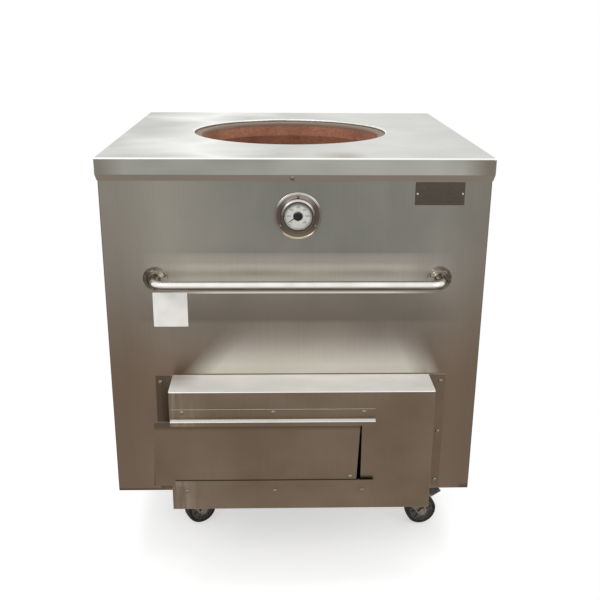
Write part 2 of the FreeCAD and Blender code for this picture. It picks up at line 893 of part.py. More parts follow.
def sliding_door():
    """A shallow folded plate between the tracks, cut a little out of square."""
    def slab(inset, y0, y1):
        run = door_lean * inset / door_height
        low_left = door_left - door_lean / 2 + inset + run
        high_left = door_left + door_lean / 2 + inset - run
        low_right = low_left + door_width - 2 * inset
        high_right = high_left + door_width - 2 * inset
        corners = [V(low_left, y0, door_bottom + inset), V(low_right, y0, door_bottom + inset),
                   V(high_right, y0, door_top - inset), V(high_left, y0, door_top - inset)]
        return prism(corners, V(0, y1 - y0, 0))

    plate = slab(0.0, door_front, door_back)
    hollow = slab(door_thickness, door_front + door_thickness, door_back + 1)
    seat = V(door_screw_x, door_front, door_screw_z)
    return tidy(plate.cut([hollow, screw_hole(seat, FRONT)]))


def door_screw():
    return screw(V(door_screw_x, door_front, door_screw_z), FRONT)


# ---- towel bar ----

def bar_legs():
    return bar_left, bar_right


def towel_bar():
    """One bent tube with plugged ends, each with a stud through the front panel."""
    out = face - bar_standoff
    points = [V(bar_left, face, bar_z), V(bar_left, out, bar_z),
              V(bar_right, out, bar_z), V(bar_right, face, bar_z)]
    bar = bent_rod(points, bar_bend_radius, bar_radius)
    bore = bent_rod(points, bar_bend_radius, bar_radius - bar_wall)
    ends = [rod(bar_radius - bar_wall, V(x, face - bar_plug, bar_z), Y, bar_plug) for x in bar_legs()]
    root = face - bar_plug / 2
    ends += [rod(stud_radius, V(x, root, bar_z), Y, bar_plug / 2 + stud_length) for x in bar_legs()]
    return tidy(bar.cut(bore).fuse(ends))


def bar_roses():
    bore = bar_radius + drill_gap
    roses = []
    for x in bar_legs():
        profile = [(bore, 0), (rose_radius, 0), (rose_radius, 0.25 * rose_height),
                   (0.86 * rose_radius, 0.62 * rose_height), (0.66 * rose_radius, 0.9 * rose_height),
                   (bore + rose_lip, rose_height), (bore, rose_height)]
        roses.append(turned(profile, V(x, face, bar_z), FRONT))
    return Part.makeCompound(roses)


def bar_nuts():
    """A nut with a washer face on each stud, inside the front panel."""
    nuts = []
    for x in bar_legs():
        base = V(x, inside, bar_z)
        washer = rod(nut_flats * 0.9, base, Y, washer_thickness)
        nut = hexagon(nut_flats, base + Y * washer_thickness, Y, nut_height)
        hole = rod(stud_radius + thread_gap, base - Y, Y, washer_thickness + nut_height + 2)
        nuts.append(tidy(washer.fuse(nut).cut(hole)))
    return Part.makeCompound(nuts)


# ---- thermometer ----

def on_gauge(profile):
    """A turned piece on the thermometer's axis; heights count outwards from the front panel."""
    return turned(profile, V(gauge_x, face, gauge_z), FRONT)


def on_gauge_ring(inner, outer, low, high):
    return ring(inner, outer, low, high, V(gauge_x, face, gauge_z), FRONT)


def thermometer_flange():
    bore = case_radius + case_gap
    r, s = flange_radius, flange_step_radius
    t, h = flange_thickness, flange_step
    e = flange_edge
    body = on_gauge([(bore, 0), (r, 0), (r, 0.6 * t), (r - e, t), (s, t), (s - 0.6 * e, h - 1.6 * e),
                     (s - 2.6 * e, h), (bore, h)])
    return tidy(body.cut([screw_hole(seat, FRONT, gauge_screw_radius) for seat in gauge_screw_seats()]))


def thermometer_case():
    """A cup with a rolled rim in front and the stem's collar behind."""
    bore, collar = stem_radius + thread_gap, stem_radius + stem_collar
    back, floor = flange_thickness, flange_thickness + case_wall
    inner = case_radius - case_wall
    lip, seat = inner - glass_lip, case_depth - glass_setback
    return on_gauge([(bore, 0), (collar, 0), (collar, back), (case_radius, back), (case_radius, flange_step),
                     (case_rim_radius, flange_step), (case_rim_radius, case_depth - case_rim_round),
                     (case_rim_radius - case_rim_round, case_depth), (lip, case_depth), (lip, seat),
                     (inner, seat), (inner, floor), (bore, floor)])


def thermometer_dial():
    base = flange_thickness + case_wall
    return on_gauge_ring(dial_bore, case_radius - case_wall - glass_gap, base, base + dial_thickness)


def thermometer_glass():
    outer = case_depth - glass_setback
    return on_gauge_ring(0, case_radius - case_wall - glass_gap, outer - glass_thickness, outer)


def thermometer_needle():
    """The pointer, its domed hub and the spindle that runs back into the stem."""
    base = flange_thickness + case_wall + dial_thickness + needle_gap
    r, h = hub_radius, hub_height
    hub = on_gauge([(0, base), (r, base), (r, base + 0.3 * h), (0.8 * r, base + 0.75 * h),
                    (0.4 * r, base + h), (0, base + h)])
    spindle = rod(spindle_end_radius, V(gauge_x, face - base - needle_gap, gauge_z), Y, base - 1.0)
    root, end, tip, tail = needle_root, needle_tail, needle_tip, -needle_tail_length
    outline = [V(-root, 0, 0), V(-end, 0, tail), V(end, 0, tail), V(root, 0, 0),
               V(tip, 0, needle_length), V(-tip, 0, needle_length)]
    pointer = prism(outline, V(0, -needle_thickness, 0))
    pointer.rotate(V(0, 0, 0), Y, needle_angle)
    pointer.translate(V(gauge_x, face - base, gauge_z))
    return tidy(hub.fuse([spindle, pointer]))


def stem_end():
    """How far in the stem's tip lies: a little past the pot's inner wall at that height."""
    foot, belly, shoulder = pot_profile(0.0)
    arc = Part.Arc(foot, belly, shoulder)
    level = Part.LineSegment(V(0, 0, gauge_z), V(2 * pot_belly_radius, 0, gauge_z)).toShape()
    radius = arc.toShape().distToShape(level)[1][0][0].x
    return mouth_y - radius + stem_reach


def thermometer_stem():
    """The tube of the bimetal coil, through the shell and the insulation into the pot."""
    base = face - flange_thickness - case_wall + needle_gap
    length = stem_end() - base
    outer = rod(stem_radius, V(gauge_x, base, gauge_z), Y, length)
    bore = rod(stem_radius - stem_wall, V(gauge_x, base - stem_wall, gauge_z), Y, length - stem_wall)
    return tidy(outer.cut(bore))


def thermometer_screws():
    return Part.makeCompound([screw(seat, FRONT, gauge_screw_radius) for seat in gauge_screw_seats()])


# ---- plates and screws on the front ----

def rivet_columns():
    offset = plate_width / 2 - rivet_inset
    return (plate_x - offset, plate_x + offset)


def rivet_hole(x):
    """The hole of a rivet, through the plate and the front panel."""
    start = V(x, face - plate_thickness - 1, plate_z)
    return rod(rivet_shank_share * rivet_radius + drill_gap, start, Y, plate_thickness + sheet + 2)


def nameplate():
    plate = block(plate_x - plate_width / 2, plate_x + plate_width / 2, face - plate_thickness, face,
                  plate_z - plate_height / 2, plate_z + plate_height / 2)
    return tidy(plate.cut([rivet_hole(x) for x in rivet_columns()]))


def nameplate_rivets():
    rivets = []
    for x in rivet_columns():
        seat = V(x, face - plate_thickness, plate_z)
        r, h, deep = rivet_radius, rivet_head, -rivet_length
        shank = rivet_shank_share * r
        profile = [(0, deep), (shank, deep), (shank, 0), (r, 0), (0.9 * r, 0.5 * h), (0.5 * r, h), (0, h)]
        rivets.append(turned(profile, seat, FRONT))
    return Part.makeCompound(rivets)


def blank_label():
    return block(label_x - label_width / 2, label_x + label_width / 2, face - label_thickness, face,
                 label_z - label_height / 2, label_z + label_height / 2)


def panel_screws():
    screws = [screw(seat, FRONT) for seat in box_screw_seats() + track_screw_seats()]
    screws += [screw(seat, Y) for seat in back_screw_seats()]
    seat, outward = skirt_screw()
    screws.append(screw(seat, outward))
    return Part.makeCompound(screws)


# ---- controls in the front box ----

def gland_y():
    return face - gland_setback


def wire_rows():
    """Heights of the four power wires below the sleeve's shelf, highest first."""
    highest = port_floor - sleeve_sheet - wire_drop
    return [highest - wire_spacing * i for i in range(4)]


def control_plate():
    """An L of thin sheet that closes off the right end of the box and carries the controls."""
    low, high = box_bottom + sheet + control_gap, box_top - sheet - control_gap
    right = box_right - sheet - control_gap
    front = block(control_left, right, control_face, control_back, low, high)
    wing = block(control_left, control_left + control_sheet, control_face, face, low, high)
    cuts = [rod(spindle_radius + 1, V(control_x, control_face - 1, knob_z), Y, control_sheet + 2)]
    cuts.append(rod(lamp_radius + drill_gap, V(control_x, control_face - 1, lamp_z), Y, control_sheet + 2))
    half_len, half_tall = switch_halves()
    cuts.append(block(control_x - half_len - control_gap, control_x + half_len + control_gap,
                      control_face - 1, control_back + 1,
                      switch_z - half_tall - control_gap, switch_z + half_tall + control_gap))
    rows, lane, room = wire_rows(), wire_lane(), wire_room
    cuts.append(block(control_left - 1, control_left + control_sheet + 1, lane - room, lane + room,
                      rows[-1] - room, rows[0] + room))
    capillary_hole = V(control_left - 1, lane, knob_z)
    cuts.append(rod(capillary_radius + capillary_room, capillary_hole, X, control_sheet + 2))
    return tidy(front.fuse(wing).cut(cuts))


def wire_lane():
    """The y at which wires run behind the control plate."""
    return control_back + 0.6 * (face - control_back)


def thermostat_body():
    half = thermostat_width / 2
    body = block(control_x - half, control_x + half, control_back, control_back + thermostat_depth,
                 knob_z - half, knob_z + half)
    body = rounded(body, moulding_round, runs_deep)
    socket = rod(spindle_radius + pin_gap, V(control_x, control_back - 1, knob_z), Y, spindle_grip + 2)
    return tidy(body.cut(socket))


def thermostat_knob():
    """A round knob with a raised grip bar, and the spindle that turns in the thermostat."""
    r, h = knob_radius, knob_height
    base = control_face - knob_gap
    profile = [(0, 0), (r, 0), (r, 0.25 * h), (0.86 * r, 0.4 * h), (0.82 * r, 0.55 * h), (0, 0.55 * h)]
    skirt = turned(profile, V(control_x, base, knob_z), FRONT)
    grip = block(control_x - 0.2 * r, control_x + 0.2 * r, base - h, base - 0.5 * h,
                 knob_z - 0.8 * r, knob_z + 0.8 * r)
    grip = rounded(grip, 0.12 * r, runs_deep)
    reach = 1 + knob_gap + control_sheet + spindle_grip
    spindle = rod(spindle_radius, V(control_x, base - 1, knob_z), Y, reach)
    return tidy(skirt.fuse([grip, spindle]))


def thermostat_sensor():
    """A thin capillary from the thermostat to a bulb that lies along the roof of the port sleeve."""
    start = V(control_x - thermostat_width / 2, wire_lane(), knob_z)
    bulb_x = mouth_x + port_width / 2 - bulb_radius - bulb_inset
    bulb_z = port_top - bulb_radius - sleeve_gap
    tip = V(bulb_x, -sleeve_reach - bulb_length, bulb_z)
    points = [start, V(bulb_x + 2 * wire_bend, wire_lane(), knob_z),
              V(bulb_x, face - 4 * wire_bend, bulb_z + 1.5 * wire_bend),
              V(bulb_x, face + 1.5 * wire_bend, bulb_z), tip]
    capillary = bent_rod(points, wire_bend, capillary_radius)
    bulb = rod(bulb_radius, tip, Y, bulb_length - bulb_radius)
    return tidy(capillary.fuse(bulb))


def rocker_centre():
    return V(control_x, control_face - bezel_thickness / 2, switch_z)


def switch_halves():
    """Half the length and half the height of the switch's box behind the plate."""
    return rocker_length / 2 + switch_wall, rocker_radius + switch_wall


def switch_housing():
    """A bezel in front of the plate and a box behind it, hollow for the rocker."""
    c = rocker_centre()
    half_len, half_tall = switch_halves()
    bezel = block(c.x - bezel_width / 2, c.x + bezel_width / 2, control_face - bezel_thickness, control_face,
                  c.z - bezel_height / 2, c.z + bezel_height / 2)
    bezel = rounded(bezel, moulding_round, runs_deep)
    body = block(c.x - half_len, c.x + half_len, control_face - 1, control_face + switch_depth,
                 c.z - half_tall, c.z + half_tall)
    room_x, room_z = rocker_length / 2 + rocker_gap, rocker_radius + rocker_gap
    recess = block(c.x - room_x, c.x + room_x, control_face - bezel_thickness - 1, c.y + room_z,
                   c.z - room_z, c.z + room_z)
    pivot_start = V(c.x - half_len + rocker_gap, c.y + rocker_pin_depth, c.z)
    pivots = rod(rocker_pin_radius + pin_gap, pivot_start, X, 2 * (half_len - rocker_gap))
    return tidy(bezel.fuse(body).cut([recess, pivots]))


def switch_rocker():
    """The rocker: part of a drum about its pivots, with two flats that meet in a shallow V."""
    c = rocker_centre() + Y * rocker_pin_depth
    half = rocker_length / 2
    valley = c.y - rocker_valley
    drum = rod(rocker_radius, V(c.x - half, c.y, c.z), X, rocker_length)
    big = 4 * rocker_radius
    back = c.y + rocker_back
    drum = drum.cut(block(c.x - big, c.x + big, back, c.y + big, c.z - big, c.z + big))
    for sign in (-1, 1):
        slope = block(c.x - big, c.x + big, valley - big, valley, c.z, c.z + big)
        if sign < 0:
            slope = slope.mirror(c, Z)
        slope.rotate(V(c.x, valley, c.z), X, sign * rocker_tilt)
        drum = drum.cut(slope)
    pin_half = half + switch_wall - 2 * rocker_gap
    pins = rod(rocker_pin_radius, V(c.x - pin_half, c.y, c.z), X, 2 * pin_half)
    rocker = drum.fuse(pins)
    rocker.rotate(c, X, -rocker_tilt)
    return tidy(rocker)


def indicator_lamp():
    r, h, deep = lamp_radius, lamp_height, -lamp_body
    profile = [(0, deep), (r, deep), (r, 0), (1.5 * r, 0), (1.5 * r, 0.25 * h), (r, 0.33 * h),
               (0.9 * r, 0.67 * h), (0.5 * r, 0.93 * h), (0, h)]
    return turned(profile, V(control_x, control_face, lamp_z), FRONT)


def contactor():
    """A two-pole contactor with stepped terminal ledges, on the back of the control plate."""
    hx, hz = contactor_width / 2, contactor_height / 2
    low, high = contactor_z - hz, contactor_z + hz
    rear = control_back + contactor_depth
    step_y = control_back + 0.6 * contactor_depth
    body = block(contactor_x - hx, contactor_x + hx, control_back, rear, low, high)
    ledges = [block(contactor_x - hx - 1, contactor_x + hx + 1, step_y, rear + 1, z0, z1)
              for z0, z1 in ((low - 1, low + contactor_ledge), (high - contactor_ledge, high + 1))]
    return tidy(body.cut(ledges))


def contactor_columns():
    pitch = contactor_width / 5
    return [contactor_x + pitch * (i - 1.5) for i in range(4)]


def internal_wiring():
    """Four power wires from the terminal block, below the shelf, to the foot of the contactor."""
    front = block_back - block_depth
    drop = front - 2 * wire_bend
    lane = wire_lane()
    foot = contactor_z - contactor_height / 2
    height = control_back + 0.3 * contactor_depth
    wires = []
    for start_x, end_x, row in zip(tail_columns(), contactor_columns(), wire_rows()):
        points = [V(start_x, front, element_z), V(start_x, drop, element_z), V(start_x, drop, row),
                  V(start_x, lane, row), V(end_x, lane, row), V(end_x, height, row), V(end_x, height, foot)]
        bend = min(wire_bend, 0.45 * abs(lane - height), 0.45 * abs(element_z - row))
        wires.append(bent_rod(points, bend, wire_radius))
    return Part.makeCompound(wires)


def cable_gland():
    """A compression gland through the bottom of the box: dome nut, hexagon, thread and lock nut."""
    r, top, low = gland_thread_radius, -gland_hex_height, -gland_hex_height - gland_dome_height
    base = V(gland_x, gland_y(), box_bottom)
    shoulder = low + 0.3 * gland_dome_height
    profile = [(0, low), (0.62 * r, low), (0.95 * r, shoulder), (0.95 * r, top + 1), (0, top + 1)]
    dome = turned(profile, base)
    hexes = hexagon(gland_flats, base + Z * top, Z, gland_hex_height)
    thread = rod(r, base - Z, Z, gland_thread_height + 1)
    lock_nut = hexagon(gland_flats, base + Z * sheet, Z, lock_nut_height)
    seal_bore = rod(gland_bore_radius, base + Z * (low - 1), Z, gland_seal_length + 2)
    thread_bore = rod(gland_thread_bore, base + Z * (low + gland_seal_length), Z,
                      gland_thread_height - low - gland_seal_length + 1)
    return tidy(dome.fuse([hexes, thread, lock_nut]).cut([seal_bore, thread_bore]))


# ---- base frame and casters ----

def caster_places():
    places = {}
    for name, angle in caster_angles.items():
        x = frame_x + (-1 if name.endswith("left") else 1) * caster_span_x / 2
        y = (-1 if name.startswith("front") else 1) * caster_span_y / 2
        places[name] = (x, y, angle)
    return places


def set_on_caster(shape, name):
    """Takes a shape from a caster's own frame, where +X is its trailing side, to its place."""
    x, y, angle = caster_places()[name]
    moved = shape.copy()
    moved.rotate(V(0, 0, 0), Z, angle)
    moved.translate(V(x, y, 0))
    return moved


def caster_bolt_spots():
    return [(sx * caster_bolt_x / 2, sy * caster_bolt_y / 2) for sx in (-1, 1) for sy in (-1, 1)]


def base_frame():
    """Two box-section rails from front to back with a cross tube near each end."""
    tubes = []
    rail_x = [frame_x - caster_span_x / 2, frame_x + caster_span_x / 2]
    cross_y = [-caster_span_y / 2, caster_span_y / 2]
    half, cross_half = rail_width / 2, cross_width / 2
    for x in rail_x:
        rail = block(x - half, x + half, -rail_length / 2, rail_length / 2, rail_bottom, rail_top)
        hollow = block(x - half + rail_wall, x + half - rail_wall, -rail_length, rail_length,
                       rail_bottom + rail_wall, rail_top - rail_wall)
        cuts = [hollow]
        for y in cross_y:
            for dx, dy in caster_bolt_spots():
                spot = V(x + dx, y + dy, rail_bottom - 1)
                cuts.append(rod(caster_bolt_radius + stud_gap, spot, Z, rail_wall + 2))
        tubes.append(tidy(rail.cut(cuts)))
    left, right = rail_x[0] + half, rail_x[1] - half
    for y in cross_y:
        cross = block(left, right, y - cross_half, y + cross_half, rail_bottom, rail_top)
        hollow = block(left - 1, right + 1, y - cross_half + rail_wall, y + cross_half - rail_wall,
                       rail_bottom + rail_wall, rail_top - rail_wall)
        tubes.append(tidy(cross.cut(hollow)))
    return Part.makeCompound(tubes)


def caster_plates():
    """The fixed half of each caster: plate, upper race and the riveted king pin."""
    plates = []
    for x, y, _ in caster_places().values():
        hx, hy = caster_plate_x / 2, caster_plate_y / 2
        plate = block(-hx, hx, -hy, hy, race_top, caster_height)
        plate = rounded(plate, caster_plate_round, upright)
        head_top = crown_bottom - race_gap
        pin, head, low = kingpin_radius, kingpin_head, head_top - kingpin_head_height
        core = turned([(0, low), (head - 2, low), (head, low + 0.5 * kingpin_head_height), (head, head_top),
                       (pin, head_top), (pin, dome_top + 1.2), (race_radius - 2, dome_top + 1.2),
                       (race_radius - 1, dome_top - 1.0), (race_radius + 0.8, dome_top - 1.0),
                       (race_radius + 1.2, race_top), (0, race_top)])
        holes = [rod(caster_bolt_radius + stud_gap, V(dx, dy, race_top - 1), Z, caster_plate_thickness + 2)
                 for dx, dy in caster_bolt_spots()]
        whole = plate.cut(holes).fuse(core)
        whole.translate(V(x, y, 0))
        plates.append(tidy(whole))
    return Part.makeCompound(plates)


def caster_bolts():
    """Bolts up through the plates into the rails, each with its head below and its nut inside."""
    length = caster_plate_thickness + rail_wall + bolt_end
    bolts = []
    for x, y, _ in caster_places().values():
        for dx, dy in caster_bolt_spots():
            seat = V(x + dx, y + dy, race_top)
            head = hexagon(caster_bolt_flats, seat - Z * caster_bolt_head, Z, caster_bolt_head)
            shank = rod(caster_bolt_radius, seat - Z, Z, length + 1)
            nut_seat = V(x + dx, y + dy, rail_bottom + rail_wall)
            nut = hexagon(caster_bolt_flats, nut_seat, Z, caster_nut_height)
            bolts.append(tidy(head.fuse([shank, nut])))
    return Part.makeCompound(bolts)


def tangent_point(px, pz, cx, cz, radius, side):
    """Where a line from (px, pz) touches a circle, on the side of it that side names."""
    dx, dz = cx - px, cz - pz
    reach = math.hypot(dx, dz)
    angle = math.atan2(dz, dx) + side * math.asin(radius / reach)
    length = math.sqrt(reach ** 2 - radius ** 2)
    return px + length * math.cos(angle), pz + length * math.sin(angle)


def pedal_pivot():
    return race_radius + pedal_pin_out, crown_bottom - pedal_pin_radius - pedal_pin_drop


def caster_fork(braked):
    """The swivelling half: a domed crown and two legs that taper to the axle's eyes."""
    back, front = -race_radius + crown_back, race_radius + crown_front
    front_x, front_z = tangent_point(front, crown_top, trail, wheel_radius, leg_eye_radius, 1)
    back_x, back_z = tangent_point(back, crown_top, trail, wheel_radius, leg_eye_radius, -1)
    legs = []
    for y in (-leg_outer, leg_inner):
        outline = [V(back, y, crown_top), V(front, y, crown_top), V(front_x, y, front_z),
                   V(trail, y, wheel_radius), V(back_x, y, back_z)]
        legs.append(prism(outline, V(0, leg_thickness, 0)))
        legs.append(rod(leg_eye_radius, V(trail, y, wheel_radius), Y, leg_thickness))
    crown = block(back, front, -leg_outer, leg_outer, crown_bottom, crown_top)
    disc = rod(race_radius, V(0, 0, crown_bottom), Z, crown_thickness)
    low, high = crown_top - 0.5, dome_top - race_gap
    dome = turned([(0, low), (race_radius - 1.5, low), (race_radius - dome_height, high), (0, high)])
    cuts = [rod(kingpin_radius + pin_gap, V(0, 0, crown_bottom - 1), Z, race_top - crown_bottom)]
    cuts.append(rod(axle_radius + drill_gap, V(trail, -leg_outer - 1, wheel_radius), Y, 2 * leg_outer + 2))
    if braked:
        px, pz = pedal_pivot()
        cuts.append(rod(pedal_pin_radius + pin_gap, V(px, -leg_outer - 1, pz), Y, 2 * leg_outer + 2))
    return tidy(crown.fuse(legs + [disc, dome]).cut(cuts))


def caster_wheel():
    """A moulded wheel with a rounded tread, a dished web and a hub that nearly fills the fork."""
    w, r, t, d = wheel_width / 2, wheel_radius, tread_round, web_depth
    hub = leg_inner - hub_gap
    bore = axle_radius + wheel_bore_gap
    rim = r - tyre_height
    near_side = [(bore, hub), (hub_end_radius, hub), (hub_end_radius + 1, w - d), (rim - 2, w - d),
                 (rim, w), (r - t, w), (r - 0.3 * t, w - 0.3 * t), (r, w - t)]
    profile = [(x, -y) for x, y in near_side] + near_side[::-1]
    return turned(profile, V(trail, 0, wheel_radius), Y)


def caster_axle():
    """The axle bolt across the fork, with its head on one side and its nut on the other."""
    shaft = rod(axle_radius, V(trail, -leg_outer - 1, wheel_radius), Y, 2 * leg_outer + 2)
    head = hexagon(axle_flats, V(trail, -leg_outer - axle_head, wheel_radius), Y, axle_head)
    nut = hexagon(axle_flats, V(trail, leg_outer, wheel_radius), Y, axle_nut)
    return tidy(shaft.fuse([head, nut]))


def brake_pedal():
    """A pressed pedal on a pin across the fork: it dips to the tread and rises to a toe tab."""
    px, pz = pedal_pivot()
    t = pedal_thickness
    dip_x, dip_z = trail + pedal_dip_out, wheel_radius + pedal_dip_rise
    tip_x, tip_z = trail + pedal_tip_out, wheel_radius + pedal_tip_rise
    slope_x = dip_x - pedal_slope
    lever = [V(px, 0, pz + 0.25 * t), V(slope_x, 0, pz + 0.75 * t), V(dip_x, 0, dip_z + t),
             V(tip_x, 0, tip_z + t), V(tip_x + 0.35 * t, 0, tip_z), V(dip_x, 0, dip_z),
             V(slope_x - 0.3 * t, 0, pz - 0.35 * t), V(px, 0, pz - 0.75 * t)]
    spine = prism(lever, V(0, 2 * pedal_half_width, 0))
    spine.translate(V(0, -pedal_half_width, 0))
    tab = prism(lever[2:6], V(0, 2 * pedal_tab_half_width, 0))
    tab.translate(V(0, -pedal_tab_half_width, 0))
    barrel = rod(pedal_pin_radius + pedal_barrel, V(px, -pedal_half_width, pz), Y, 2 * pedal_half_width)
    pin_half = leg_outer + 0.4 * t
    pin = rod(pedal_pin_radius, V(px, -pin_half, pz), Y, 2 * pin_half)
    return tidy(spine.fuse([tab, barrel, pin]))


# ---- everything, by name ----

def build():
    parts = {
        "top_cover": top_cover(),
        "front_panel": front_panel(),
        "back_panel": back_panel(),
        "side_panels": side_panels(),
        "corner_posts": corner_posts(),
        "base_pan": base_pan(),
        "base_frame": base_frame(),
        "clay_pot": clay_pot(),
        "base_slab": base_slab(),
        "insulation": insulation(),
        "mouth_gasket": mouth_gasket(),
        "port_sleeve": port_sleeve(),
        "heating_elements": heating_elements(),
        "element_supports": element_supports(),
        "terminal_block": terminal_block(),
        "front_box": front_box(),
        "upper_track": upper_track(),
        "lower_track": lower_track(),
        "sliding_door": sliding_door(),
        "door_screw": door_screw(),
        "towel_bar": towel_bar(),
        "bar_roses": bar_roses(),
        "bar_nuts": bar_nuts(),
        "thermometer_flange": thermometer_flange(),
        "thermometer_case": thermometer_case(),
        "thermometer_dial": thermometer_dial(),
        "thermometer_glass": thermometer_glass(),
        "thermometer_needle": thermometer_needle(),
        "thermometer_stem": thermometer_stem(),
        "thermometer_screws": thermometer_screws(),
        "nameplate": nameplate(),
        "nameplate_rivets": nameplate_rivets(),
        "blank_label": blank_label(),
        "panel_screws": panel_screws(),
        "control_plate": control_plate(),
        "thermostat_body": thermostat_body(),
        "thermostat_knob": thermostat_knob(),
        "thermostat_sensor": thermostat_sensor(),
        "switch_housing": switch_housing(),
        "switch_rocker": switch_rocker(),
        "indicator_lamp": indicator_lamp(),
        "contactor": contactor(),
        "internal_wiring": internal_wiring(),
        "cable_gland": cable_gland(),
        "caster_plates": caster_plates(),
        "caster_bolts": caster_bolts(),
    }
    for name in caster_angles:
        front = name.startswith("front")
        parts["fork_" + name] = set_on_caster(caster_fork(front), name)
        parts["wheel_" + name] = set_on_caster(caster_wheel(), name)
        parts["axle_" + name] = set_on_caster(caster_axle(), name)
        if front:
            parts["brake_pedal_" + name] = set_on_caster(brake_pedal(), name)
    for shape in parts.values():
        shape.translate(V(0, origin_shift, 0))
    return parts


def save(parts):
    os.makedirs("parts", exist_ok=True)
    for name, shape in parts.items():
        shape.exportStep(os.path.join("parts", name + ".step"))


if __name__ == "__main__":
    save(build())
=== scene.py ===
"""A square stainless steel tandoor on casters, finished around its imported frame. Metres, Z up."""
import json
import math

import bmesh
import bpy
from mathutils import Matrix, Vector


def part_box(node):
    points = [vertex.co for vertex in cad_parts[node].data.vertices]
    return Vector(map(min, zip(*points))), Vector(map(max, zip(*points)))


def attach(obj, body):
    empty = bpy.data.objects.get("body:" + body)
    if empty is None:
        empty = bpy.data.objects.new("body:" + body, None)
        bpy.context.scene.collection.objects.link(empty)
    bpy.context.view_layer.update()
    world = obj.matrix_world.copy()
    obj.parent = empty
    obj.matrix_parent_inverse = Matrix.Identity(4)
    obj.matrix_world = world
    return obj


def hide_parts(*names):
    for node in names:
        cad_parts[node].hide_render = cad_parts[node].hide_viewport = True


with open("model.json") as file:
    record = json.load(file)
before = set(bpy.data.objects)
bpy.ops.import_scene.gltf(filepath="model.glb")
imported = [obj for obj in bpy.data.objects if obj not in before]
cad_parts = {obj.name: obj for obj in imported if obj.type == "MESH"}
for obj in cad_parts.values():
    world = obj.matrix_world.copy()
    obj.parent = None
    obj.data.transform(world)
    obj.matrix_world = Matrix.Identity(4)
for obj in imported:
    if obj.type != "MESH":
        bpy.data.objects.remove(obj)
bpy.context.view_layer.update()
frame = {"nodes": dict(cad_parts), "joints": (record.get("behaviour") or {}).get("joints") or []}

MM = 0.001
Y = Vector((0, 1, 0))
Z = Vector((0, 0, 1))
FRONT = -Y
SMOOTH_ANGLE = math.radians(35)


# ---- small tools ----

def linear(code):
    """A colour written as sRGB hex, as Blender's linear RGBA."""
    parts = [int(code[i:i + 2], 16) / 255 for i in (1, 3, 5)]
    return [c / 12.92 if c <= 0.04045 else ((c + 0.055) / 1.055) ** 2.4 for c in parts] + [1.0]


def cleared_tree(owner):
    """The node tree of a material or a world, emptied."""
    owner.use_nodes = True
    owner.node_tree.nodes.clear()
    return owner.node_tree


